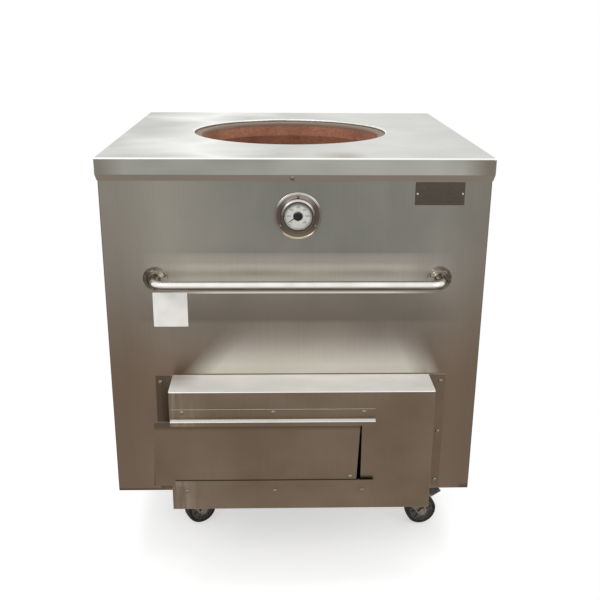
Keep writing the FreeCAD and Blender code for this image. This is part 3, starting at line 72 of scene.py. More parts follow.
class Nodes:
    """Tools that build one node tree. A value that they take is a socket or a plain number."""

    def __init__(self, tree):
        self.tree = tree

    def add(self, kind, inputs=None, stops=None, **settings):
        """Adds a node with its settings. An input is a socket to link, a hex colour or a plain value, and
        stops are a ramp's (place, colour) pairs."""
        node = self.tree.nodes.new(kind)
        for name, value in settings.items():
            setattr(node, name, value)
        for name, value in (inputs or {}).items():
            if isinstance(value, str) and value.startswith("#"):
                value = linear(value)
            if isinstance(value, bpy.types.NodeSocket):
                self.tree.links.new(value, node.inputs[name])
            else:
                node.inputs[name].default_value = value
        if stops:
            elements = node.color_ramp.elements
            while len(elements) < len(stops):
                elements.new(1.0)
            for element, (place, colour) in zip(elements, stops):
                element.position = place
                element.color = linear(colour)
        return node

    def math_of(self, operation, *values):
        """The result of one operation on numbers, each a socket or a plain value."""
        return self.add("ShaderNodeMath", dict(enumerate(values)), operation=operation).outputs[0]

    def product(self, first, *others):
        for other in others:
            first = self.math_of("MULTIPLY", first, other)
        return first

    def spread(self, value, low=0.0, high=1.0, from_low=0.3, from_high=0.7):
        """A value's useful range, stretched to run from low to high."""
        return self.add("ShaderNodeMapRange", {
            "Value": value, "From Min": from_low, "From Max": from_high,
            "To Min": low, "To Max": high}).outputs["Result"]

    def rising(self, value, start, end, most=1.0):
        """0 up to start, and most from end on."""
        return self.spread(value, 0.0, most, start, end)

    def falling(self, value, start, end, most=1.0):
        """most up to start, and 0 from end on."""
        return self.spread(value, most, 0.0, start, end)

    def mixed(self, amount, first, second, blend="MIX"):
        """Two colours mixed by amount, from first at 0 to second at 1."""
        return self.add("ShaderNodeMix", {0: amount, 6: first, 7: second}, data_type="RGBA",
                        blend_type=blend).outputs[2]

    def mixed_value(self, amount, first, second):
        """A number mixed by amount, from first at 0 to second at 1."""
        return self.add("ShaderNodeMix", {0: amount, 2: first, 3: second}, data_type="FLOAT").outputs[0]

    def layered(self, tone, layers):
        """A tone under layers, each an (amount, colour) pair."""
        for amount, colour in layers:
            tone = self.mixed(amount, tone, colour)
        return tone

    def ramp(self, value, stops):
        """A colour by a value from 0 to 1, read off (place, colour) stops."""
        return self.add("ShaderNodeValToRGB", {"Fac": value}, stops=stops).outputs["Color"]

    def own_place(self):
        """The point in metres, in the piece's own space."""
        return self.add("ShaderNodeTexCoord").outputs["Object"]

    def parts_of(self, vector):
        """The X, Y and Z of a vector."""
        return self.add("ShaderNodeSeparateXYZ", {"Vector": vector}).outputs

    def place_parts(self):
        """The X, Y and Z of the point."""
        return self.parts_of(self.own_place())

    def facing_parts(self):
        """The X, Y and Z of the direction that the surface faces."""
        return self.parts_of(self.add("ShaderNodeTexCoord").outputs["Normal"])

    def length_of(self, vector):
        return self.add("ShaderNodeVectorMath", {0: vector}, operation="LENGTH").outputs["Value"]

    def about_axis(self, centre):
        """The height above a centre, and the distance from the axis through it, front to back."""
        centred = self.add("ShaderNodeMapping", {
            "Vector": self.own_place(), "Location": [-c for c in centre]}).outputs["Vector"]
        flat = self.add("ShaderNodeVectorMath", {
            0: centred, 1: (1.0, 0.0, 1.0)}, operation="MULTIPLY").outputs["Vector"]
        return self.parts_of(centred)["Z"], self.length_of(flat)

    def patches(self, size, detail=2.0, roughness=0.5):
        """Noise from 0 to 1. Its patches measure about size millimetres, one number or one for each axis."""
        sizes = size if isinstance(size, tuple) else (size, size, size)
        scaled = self.add("ShaderNodeMapping", {
            "Vector": self.own_place(), "Scale": [1 / (s * MM) for s in sizes]}).outputs["Vector"]
        return self.add("ShaderNodeTexNoise", {
            "Vector": scaled, "Scale": 1.0, "Detail": detail, "Roughness": roughness}).outputs["Fac"]


# ---- finishes: tools for one Principled shader ----

FLANGE = 0.038
SHEET = 0.0015
SKIRT_TURN_IN = 12.7
# black painted shade for the dark inside of the front box and its gaps, and the soft edge of its mask
BLACK_SHADE = "#2A221C"
BLACK_SHADE_EDGE = 0.4 * MM
FRONT_LOOK_ENDS = (-0.34, -0.33)
FLOOR_REFLECTION_HEIGHTS = (0.46, 0.70)
SHEEN_ACROSS = (-0.24, -0.02)
SHEEN_HEIGHTS = (0.60, 0.76)
BOX_CORNER = (-0.40, -0.36)
SCORCH_LEFT = (0.03, 0.09)
SCORCH_RIGHT = (0.11, 0.15)
SCORCH_NEAR = (-0.385, -0.350)
SCORCH_FAR = (-0.320, -0.270)


class Finish(Nodes):
    """A material with one Principled shader, whose sockets are named with underscores for spaces."""

    def __init__(self, name, **values):
        self.material = bpy.data.materials.new(name)
        super().__init__(cleared_tree(self.material))
        sockets = {socket.replace("_", " "): value for socket, value in values.items()}
        self.shader = self.add("ShaderNodeBsdfPrincipled", sockets)
        self.add("ShaderNodeOutputMaterial", {"Surface": self.shader.outputs["BSDF"]})

    def feed(self, **values):
        """Links values to the shader's sockets."""
        for socket, value in values.items():
            self.tree.links.new(value, self.shader.inputs[socket.replace("_", " ")])

    def relief(self, height, depth, strength, under=None):
        """Raises the surface by height, a value from 0 to 1, times depth millimetres."""
        inputs = {"Height": height, "Distance": depth * MM, "Strength": strength}
        if under:
            inputs["Normal"] = under
        bump = self.add("ShaderNodeBump", inputs).outputs["Normal"]
        self.feed(Normal=bump)
        return bump

    def facing(self, stops):
        """A colour by how far the surface faces up: 0 is straight down, 0.5 upright and 1 straight up."""
        return self.ramp(self.rising(self.facing_parts()["Z"], -1.0, 1.0), stops)

    def facing_up(self, low, high):
        """1 where the surface faces up, and 0 on upright and lower faces."""
        return self.rising(self.facing_parts()["Z"], low, high)

    def bends(self):
        """1 on rounded edges that face up and out, and 0 on flat tops and upright walls."""
        rise = self.facing_parts()["Z"]
        return self.product(self.rising(rise, 0.12, 0.35), self.falling(rise, 0.93, 0.99))

    def within(self, low, high):
        """1 between two corners, and 0 outside them."""
        at, inside = self.place_parts(), 1.0
        for axis, near, far in zip("XYZ", low, high):
            inside = self.product(inside, self.rising(at[axis], near, near + BLACK_SHADE_EDGE),
                                  self.falling(at[axis], far - BLACK_SHADE_EDGE, far))
        return inside

    def towards_corners(self, left, right):
        """Up to 0.75 near the front corners of the body, low down, and 0 between left and right."""
        at = self.place_parts()
        outer = self.math_of("MAXIMUM", self.falling(at["X"], left - 0.06, left + 0.03, 0.75),
                             self.rising(at["X"], right - 0.03, right + 0.05, 0.75))
        return self.product(outer, self.spread(at["Z"], 1.0, 0.25, 0.45, 0.85))

    def pale_band(self, left, right, bottom, height, most=0.9, falloff=1.0, foot=0.008, lean=0.0, soft=0.05,
                  cap=1.0):
        """Strongest on the front panel just above a bottom, fading out over a height, below over foot, and
        past both ends over soft, and nowhere more than cap. Both ends lean inwards: the left one by lean
        metres for each metre it climbs, and the right one by half of that."""
        at = self.place_parts()
        climb = self.math_of("MULTIPLY_ADD", at["Z"], lean, -lean * bottom)
        from_left = self.math_of("SUBTRACT", at["X"], climb)
        from_right = self.math_of("MULTIPLY_ADD", climb, 0.5, at["X"])
        drop = self.math_of("POWER", self.falling(at["Z"], bottom, bottom + height), falloff)
        fade = self.product(self.rising(at["Z"], bottom - foot, bottom + 0.2 * foot, most),
                            self.rising(drop, 0.0, cap, cap))
        return self.product(self.rising(from_left, left - soft, left + soft),
                            self.falling(from_right, right - soft, right + soft), fade,
                            self.falling(at["Y"], *FRONT_LOOK_ENDS))

    def brush(self, tone, roughness, grain, contrast):
        """Belt-brushing on a sheet: fine lines along the grain that catch the light unevenly, hazy patches
        where cloths have been, and a slight wave in the sheet. The belt's scratches are under 0.2 mm wide and
        are drawn coarser, so that they show. Gives the sheet's roughness."""
        lines = self.patches(grain, detail=4.0, roughness=0.7)
        streaks = self.ramp(lines, [(0.25, contrast), (0.7, "#FFFFFF")])
        self.feed(Base_Color=self.mixed(1.0, tone, streaks, "MULTIPLY"))
        wave = self.relief(self.patches((190.0, 190.0, 260.0), detail=1.0), 1.2, 0.35)
        self.relief(lines, 0.04, 0.4, under=wave)
        return self.math_of("ADD", self.spread(lines, roughness - 0.04, roughness + 0.05),
                            self.spread(self.patches((130.0, 130.0, 240.0)), -0.04, 0.06))


# ---- metals ----

def shell_sheet():
    """304 stainless sheet, belt-brushed upright: a cool grey above, browner low down and towards the corners
    as a painted reflection of a brown floor, with a painted sheen at the upper left. A band below the towel
    bar is darker, painted light and a painted glint of the bar lie about it, and a painted glow of light lies
    above the front box. It is darker along the foot, painted shade darkens the bent corners, and black
    painted shade lies behind the front box."""
    f = Finish("brushed_stainless_shell", Metallic=1.0)
    low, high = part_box("front_panel")
    box_low, box_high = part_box("front_box")
    bar_low, bar_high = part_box("towel_bar")
    at = f.place_parts()
    clouds = f.spread(f.patches((220.0, 220.0, 320.0), detail=3.0))
    # browner low down: a painted reflection of a brown floor
    upper = f.mixed(clouds, "#73746E", "#8D8980")
    lower = f.mixed(clouds, "#6B594B", "#7C6B5C")
    tone = f.mixed(f.rising(at["Z"], *FLOOR_REFLECTION_HEIGHTS), lower, upper)
    # paler at the upper left: a painted sheen
    wipe_and_sheen = f.product(f.falling(at["X"], *SHEEN_ACROSS, 0.45), f.rising(at["Z"], *SHEEN_HEIGHTS))
    # a darker band below the towel bar; painted light and sheen just above the bar, and a painted glint, its
    # reflection, below it
    below_bar = f.pale_band(bar_low.x, bar_high.x, bar_low.z - 0.085, 0.10)
    light_above_bar = f.pale_band(bar_low.x + 0.03, bar_high.x - 0.03, bar_high.z - 0.018, 0.065, most=0.62,
                            falloff=0.5)
    bar_shine = f.pale_band(bar_low.x + 0.04, bar_high.x - 0.05, bar_high.z + 0.010, 0.016, most=0.5,
                            foot=0.024)
    bar_glint = f.pale_band(bar_low.x + 0.08, bar_high.x - 0.06, bar_low.z - 0.023, 0.005, foot=0.002)
    # a painted glow of light thrown up by the front box's bright top
    glow_above_box = f.pale_band(box_low.x + 0.09, box_high.x - 0.045, box_high.z + 0.003, 0.135, most=1.0,
                            falloff=2.3, foot=0.001, lean=0.9, soft=0.035, cap=0.7)
    left_foot = f.product(f.falling(at["Z"], low.z + 0.002, low.z + 0.007, 0.8),
                          f.falling(at["X"], box_low.x, box_low.x + 0.08))
    right_foot = f.product(f.falling(at["Z"], low.z + 0.004, low.z + 0.014, 0.8),
                           f.rising(at["X"], high.x - 0.028, high.x - 0.016))
    # painted shade on the bent corners, by which way they face
    sideways = f.math_of("ABSOLUTE", f.facing_parts()["X"])
    corner = f.product(f.rising(sideways, 0.15, 0.4, 0.7), f.falling(sideways, 0.93, 0.99))
    # black painted shade behind the front box
    behind_box = f.within(box_low + Vector((FLANGE, 0, 0)), box_high + Vector((-FLANGE, 2 * SHEET, 0)))
    # the corners low down take more of the painted floor reflection
    tone = f.layered(tone, [
        (wipe_and_sheen, "#9D988D"), (f.towards_corners(box_low.x, box_high.x), "#6C5D50"),
        (below_bar, "#6D655B"), (light_above_bar, "#CCC4B8"), (bar_shine, "#E8DFD2"), (bar_glint, "#F0E6D8"),
        (glow_above_box, "#FAF7EE"), (left_foot, "#3F352C"), (right_foot, "#46483C"), (corner, "#51473D"),
        (behind_box, BLACK_SHADE)])
    f.feed(Roughness=f.brush(tone, 0.36, (1.2, 1.2, 160.0), "#F2F1EF"))
    return f.material


def cover_sheet():
    """304 stainless sheet, belt-brushed across: the top painted bright as if lit from above, with a painted
    sheen left of the middle, a painted white highlight along its bent edge and the mouth's rolled lip, and a
    straw-coloured scorch mark in front of the mouth. The skirt is painted greyer, as shade on its upright
    faces, darker and browner at both ends of its front, and warmer along the turned-in foot."""
    f = Finish("brushed_stainless_cover", Metallic=1.0)
    low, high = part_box("top_cover")
    foot = low.z + SKIRT_TURN_IN * MM
    at = f.place_parts()
    smears = f.spread(f.patches((210.0, 210.0, 140.0)))
    front = f.falling(at["Y"], low.y + 0.02, low.y + 0.06)
    skirt = f.layered(f.mixed(smears, "#8E8D86", "#ACABA3"), [
        (f.product(front, f.rising(at["X"], high.x - 0.07, high.x - 0.015, 0.85)), "#726A5F"),
        (f.product(front, f.falling(at["X"], low.x + 0.01, low.x + 0.06, 0.7)), "#766E64"),
        (f.falling(at["Z"], foot - 0.5 * MM, foot + 0.5 * MM), "#81776D")])
    # a painted sheen across the top, brightest left of the middle
    drift = f.spread(f.patches((330.0, 260.0, 260.0)), -0.12, 0.12)
    across = f.rising(f.math_of("ADD", at["X"], drift), low.x, high.x)
    table = f.ramp(across, [
        (0.02, "#BDBEB8"), (0.27, "#F9F9F6"), (0.5, "#C0C1BB"), (0.72, "#D4D5D0"), (1.0, "#C6C7C1")])
    scorch = f.product(f.rising(at["X"], *SCORCH_LEFT, 0.85), f.falling(at["X"], *SCORCH_RIGHT),
                       f.rising(at["Y"], *SCORCH_NEAR), f.falling(at["Y"], *SCORCH_FAR))
    table = f.mixed(scorch, table, "#A89E86")
    # the top painted lighter than the skirt by which way each faces, and a painted white highlight on the
    # bends
    tone = f.mixed(f.facing_up(0.2, 0.8), skirt, table)
    tone = f.mixed(f.bends(), tone, "#FFFFFF")
    f.feed(Roughness=f.brush(tone, 0.30, (160.0, 1.6, 1.6), "#F4F4F2"))
    return f.material


def box_sheet(name, ledge_light, wipe_and_sheen, door_shade=0.0):
    """304 stainless sheet, belt-brushed upright, brown with a painted reflection of the floor, and darkest in
    the corner left of the box with a painted reflection of its dark side wall. Ledges that face up are
    painted pale as if lit from above and scatter light like frosted metal, with a painted highlight along the
    front bend.
    Paler wipe streaks run down the left end, and the inside is black painted shade. The door has painted
    shade along its left edge and under the upper track."""
    f = Finish(name)
    low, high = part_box("front_box")
    left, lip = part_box("sliding_door")[0].x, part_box("upper_track")[0].z
    at = f.place_parts()
    clouds = f.spread(f.patches((160.0, 160.0, 120.0)))
    stains = f.spread(f.patches((12.0, 12.0, 160.0)))
    # darkest in the corner left of the box: a painted reflection of its dark side wall
    corner = f.product(f.falling(at["X"], low.x + 0.03, low.x + 0.04, 0.85), f.rising(at["Y"], *BOX_CORNER))
    streaks = f.product(stains, f.falling(at["X"], low.x + 0.07, low.x + 0.12, wipe_and_sheen),
                        f.rising(at["X"], low.x + FLANGE, low.x + FLANGE + 0.01))
    # the walls' brown: a painted reflection of the floor
    wall = f.layered(f.mixed(clouds, "#6B5C4D", "#786959"), [
        (corner, f.mixed(stains, "#4C3F35", "#5E4F43")),
        (f.rising(at["X"], high.x - FLANGE, high.x - FLANGE + MM, 0.35), "#5E4D40"),
        (streaks, "#94897C"),
        # painted shade along the door's left edge and under the upper track
        (f.falling(at["X"], left + 1.5 * MM, left + 3 * MM, door_shade), "#3F342B"),
        (f.rising(at["Z"], lip - 15 * MM, lip - 5 * MM, door_shade), "#4C4036")])
    pale = f.spread(f.patches((90.0, 40.0, 40.0), detail=3.0))
    smudge = f.product(f.falling(at["X"], low.x + FLANGE + 0.015, low.x + FLANGE + 0.06, 0.6),
                       f.rising(at["Y"], low.y + 0.02, low.y + 0.07))
    # ledges that face up: painted pale as if lit from above
    ledge = f.mixed(smudge, f.mixed(pale, "#F2F1EA", "#FFFEFA"), "#A79F93")
    # black painted shade inside the box
    inset = Vector((FLANGE + SHEET / 2, SHEET / 2, SHEET / 2))
    black_shade = f.within(low + inset, Vector((high.x - inset.x, high.y, high.z - inset.z)))
    # a painted highlight along the front bend
    bend = f.product(f.bends(), ledge_light)
    wall = f.layered(wall, [(bend, "#FFFFFF"), (black_shade, BLACK_SHADE)])
    up = f.product(f.facing_up(0.3, 0.7), ledge_light, f.falling(black_shade, 0.0, 1.0), f.falling(bend, 0.0, 1.0))
    dull = f.brush(f.mixed(up, wall, ledge), 0.36, (1.2, 1.2, 120.0), "#F2F1EF")
    f.feed(Metallic=f.mixed_value(up, 1.0, 0.1), Roughness=f.mixed_value(up, dull, 0.5))
    return f.material


def plain_sheet(name, black_shaded=0.0):
    """304 stainless sheet as it leaves the mill, 2B finish: an even, milky grey with a faint cloudiness. The
    control plate is painted black beyond its knob as shade, behind the gap where the draught comes in."""
    f = Finish(name, Metallic=1.0)
    clouds = f.patches(60.0, detail=3.0)
    knob_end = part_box("thermostat_knob")[1].x
    # black painted shade beyond the knob, behind the gap
    black_shade = f.rising(f.place_parts()["X"], knob_end + 3 * MM, knob_end + 8 * MM, black_shaded)
    tone = f.mixed(black_shade, f.mixed(f.spread(clouds), "#8E8B85", "#A29F99"), BLACK_SHADE)
    f.feed(Base_Color=tone, Roughness=f.spread(clouds, 0.36, 0.48))
    f.relief(clouds, 0.3, 0.2)
    return f.material


def polished_tube():
    """Stainless tube, ground and buffed: painted bright on top as if lit from above, and painted dark and
    brown below as shade, with faint rings of polishing lines round it."""
    f = Finish("buffed_stainless_tube", Metallic=1.0)
    smears = f.spread(f.patches((45.0, 30.0, 30.0)))
    # painted light and shade by which way the tube faces: bright on top, dark and brown below
    facing_light = f.facing([(0.0, "#4E453C"), (0.30, "#5A5046"), (0.40, "#8F867B"), (0.50, "#E6E2DA"),
                     (0.7, "#FAF9F5"), (0.93, "#F1EEE8"), (1.0, "#C9C3B9")])
    f.feed(Base_Color=f.mixed(smears, facing_light, f.mixed(0.25, facing_light, "#A39A8E")),
           Roughness=f.spread(smears, 0.14, 0.26, 0.0, 1.0))
    f.relief(f.patches((1.5, 60.0, 60.0), detail=3.0), 0.02, 0.3)
    return f.material


def rose_steel():
    """Stainless rose, turned and buffed: pale on the side that faces the middle of the bar, painted dark and
    brown on the outer side as shade, with a painted highlight on its upper edge."""
    f = Finish("turned_stainless_rose", Metallic=1.0)
    low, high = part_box("bar_roses")
    wide, reach = high.z - low.z, (high.x - low.x) / 2
    middle = (low.x + high.x) / 2
    # painted shade, dark and brown towards the outer side
    outward = f.math_of("ABSOLUTE", f.math_of("SUBTRACT", f.place_parts()["X"], middle))
    sides = f.ramp(f.rising(outward, reach - wide, reach), [
        (0.0, "#A39B90"), (0.3, "#857C72"), (0.52, "#4F453C"), (1.0, "#3A3029")])
    smears = f.patches(8.0)
    # a painted highlight where the rose faces up
    tone = f.layered(sides, [(f.facing_up(0.6, 0.95), "#C4BDB2"), (f.spread(smears, 0.0, 0.5), "#8A8176")])
    f.feed(Base_Color=tone, Roughness=f.spread(smears, 0.16, 0.3))
    return f.material


def spun_steel():
    """Stainless disc, spun and buffed on a lathe: fine circles about the gauge's middle, painted highlights
    on the outer lip and on top of the rolled rim, and painted shade in the bore and the hollow between them."""
    f = Finish("spun_stainless_bezel", Metallic=1.0)
    low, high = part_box("thermometer_flange")
    rise, radius = f.about_axis((low + high) / 2)
    circles = f.add("ShaderNodeTexNoise", {
        "W": radius, "Scale": 1 / (0.7 * MM), "Detail": 2.0}, noise_dimensions="1D").outputs["Fac"]
    # painted highlights and shade by where each ring faces round the axis, and painted shade in the bore and
    # the hollow
    turn = f.rising(f.math_of("DIVIDE", rise, radius), -1.0, 1.0)
    tone = f.ramp(turn, [(0.0, "#3A342F"), (0.6, "#2A2622")])
    for start, stops in (
            (31.0, [(0.0, "#5A534C"), (0.5, "#4A433D"), (0.72, "#8F8A81"), (0.88, "#E2DFD8")]),
            (34.8, [(0.0, "#695B49"), (0.2, "#4A413A"), (0.75, "#4A413A"), (0.95, "#8F8880")]),
            (44.6, [(0.0, "#D8C8B0"), (0.07, "#C9B9A2"), (0.16, "#766D63"), (0.68, "#857C72"),
                    (0.84, "#E4E1DA")])):
        ring = f.rising(radius, start * MM, (start + 0.6) * MM)
        tone = f.mixed(ring, tone, f.ramp(turn, stops))
    f.feed(Base_Color=f.mixed(f.spread(circles, 0.0, 0.2), tone, "#8F887F"),
           Roughness=f.spread(circles, 0.14, 0.26))
    f.relief(circles, 0.04, 0.4)
    return f.material


def screw_steel():
    """A2 stainless screw, cold headed: slightly uneven, with a painted highlight where its head looks up and
    painted shade below.
    """
    f = Finish("cold_headed_screw_steel", Metallic=1.0)
    marks = f.patches(2.0, detail=3.0)
    # painted highlight on the head's top and painted shade below
    facing_light = f.facing([(0.0, "#4A4038"), (0.42, "#6E6459"), (0.6, "#938A7E"), (0.85, "#CFC8BD")])
    f.feed(Base_Color=f.mixed(f.spread(marks, 0.0, 0.4), facing_light, "#6E655A"),
           Roughness=f.spread(marks, 0.2, 0.38))
    return f.material


def zinc_plate():
    """Pressed mild steel with bright zinc plating: grey, with the plating's spangle and a brown bloom."""
    f = Finish("zinc_plated_pressing", Metallic=1.0)
    spangle, bloom = f.patches(5.0, detail=3.0), f.patches(28.0, detail=3.0)
    tone = f.mixed(f.spread(spangle), "#665C54", "#8B8178")
    f.feed(Base_Color=f.mixed(f.rising(bloom, 0.5, 0.72, 0.75), tone, "#54433A"),
           Roughness=f.spread(bloom, 0.28, 0.5))
    f.relief(spangle, 0.05, 0.5)
    return f.material


def oxidised_sheath():
    """Heater sheath of nickel alloy, oxidised by heat: dark greenish grey with straw and blue patches."""
    f = Finish("oxidised_heater_sheath", Metallic=1.0)
    heat = f.patches(30.0)
    tone = f.ramp(heat, [(0.3, "#3F4140"), (0.5, "#5A5448"), (0.62, "#6E5A3C"), (0.75, "#4A4E58")])
    f.feed(Base_Color=tone, Roughness=f.spread(heat, 0.35, 0.55))
    return f.material


# ---- other finishes ----

def mottled(name, size, dark, light, rough=None, detail=3.0, reach=(0.3, 0.7), grain=None, **values):
    """A finish whose patches run from dark to light over a reach of their noise, and from the smoother to the
    duller end of rough. grain is the depth and strength of their relief, with the patch size and detail where
    it has its own."""
    f = Finish(name, **values)
    noise = f.patches(size, detail=detail)
    f.feed(Base_Color=f.mixed(f.rising(noise, *reach), dark, light))
    if rough:
        f.feed(Roughness=f.spread(noise, *rough))
    if grain:
        depth, strength, *own = grain
        f.relief(f.patches(*own) if own else noise, depth, strength)
    return f.material


def moulded(name, dark, light, gloss):
    """An injection-moulded plastic: even colour over a fine spark-eroded grain, duller where it is rubbed."""
    return mottled(name, 18.0, dark, light, (gloss, gloss + 0.14), detail=2.0, grain=(0.06, 0.5, 0.8, 2.0),
                   IOR=1.5)


def fired_clay():
    """Hand-beaten terracotta, fired and seasoned: warm brown, darker where flames licked it and ash-grey at
    the rim, with chopped straw burnt out of it in short pits and the potter's finger waves round the wall."""
    f = Finish("seasoned_terracotta", Specular_IOR_Level=0.3)
    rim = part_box("clay_pot")[1].z
    licked = f.rising(f.patches((120.0, 120.0, 160.0), detail=4.0), 0.42, 0.7, 0.55)
    body = f.patches((9.0, 9.0, 6.0), detail=4.0)
    ash = f.rising(f.place_parts()["Z"], rim - 0.012, rim - 0.006)
    tone = f.mixed(f.spread(body), "#AC755B", "#C68F74")
    tone = f.layered(tone, [(licked, "#6E4535"), (ash, "#7B6C5E")])
    f.feed(Base_Color=tone, Roughness=f.spread(body, 0.78, 0.92))
    waves = f.relief(f.patches((260.0, 260.0, 22.0), detail=1.0), 2.5, 0.5)
    f.relief(body, 0.7, 0.6, under=waves)
    return f.material


def loose_fill():
    """Expanded vermiculite packed round the pot: golden-brown flakes."""
    f = Finish("packed_vermiculite", Roughness=0.85, Specular_IOR_Level=0.3)
    flakes = f.add("ShaderNodeTexVoronoi", {
        "Vector": f.own_place(), "Scale": 1 / (7 * MM)}).outputs["Distance"]
    f.feed(Base_Color=f.ramp(flakes, [(0.0, "#C4A877"), (0.5, "#9C8155"), (1.0, "#5F4C31")]))
    f.relief(flakes, 3.0, 0.8)
    return f.material


def plaited_rope():
    """Square-plaited glass-fibre rope: off-white strands that cross on a slant round the ring."""
    f = Finish("plaited_glass_rope", Roughness=0.9, Sheen_Weight=0.3)
    strands = f.add("ShaderNodeTexWave", {
        "Vector": f.own_place(), "Scale": 1 / (8 * MM), "Distortion": 2.0, "Detail": 2.0},
        bands_direction="DIAGONAL").outputs["Fac"]
    f.feed(Base_Color=f.mixed(strands, "#A79E8C", "#DDD6C6"))
    f.relief(strands, 0.8, 0.7)
    return f.material


def dial_enamel():
    """Steel dial under baked enamel: a warm off-white, slightly mottled, with a painted shadow of the rim
    along its top edge.
    """
    f = Finish("baked_dial_enamel", Roughness=0.35)
    low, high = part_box("thermometer_dial")
    # a painted shadow of the rim along the dial's top edge
    away = f.about_axis((low + high) / 2 - 7 * MM * Z)[1]
    edge = (high.z - low.z) / 2
    rim_shadow = f.product(f.rising(away, edge - 3 * MM, edge + 3 * MM, 0.85),
                       f.falling(away, edge + 0.01, edge + 0.02))
    tone = f.mixed(f.spread(f.patches(9.0)), "#D6D5CB", "#E4E3DA")
    f.feed(Base_Color=f.mixed(rim_shadow, tone, "#6E6962"))
    return f.material


def gauge_glass():
    """Float glass disc: clear enough to see straight through, with a hard gloss, dulled here and there by a
    trace of grease."""
    f = Finish("float_glass", Base_Color="#101211")
    gloss = f.add("ShaderNodeFresnel", {"IOR": 1.5}).outputs["Fac"]
    back = f.add("ShaderNodeNewGeometry").outputs["Backfacing"]
    f.feed(Roughness=f.spread(f.patches(14.0), 0.02, 0.09),
           Alpha=f.product(gloss, f.falling(back, 0.0, 1.0, 0.6)))
    return f.material


def needle_lacquer():
    """Aluminium pointer and hub under black gloss lacquer, with a painted highlight on top of the hub's dome.
    """
    f = Finish("black_gloss_lacquer", Specular_IOR_Level=0.25)
    film = f.patches(5.0)
    # painted highlight on top of the hub's dome
    lit = f.facing([(0.0, "#151311"), (0.56, "#151311"), (0.64, "#77726A"), (0.72, "#A8A39A")])
    f.feed(Base_Color=f.mixed(f.spread(film, 0.0, 0.4), lit, "#1B1917"), Roughness=f.spread(film, 0.12, 0.24))
    return f.material


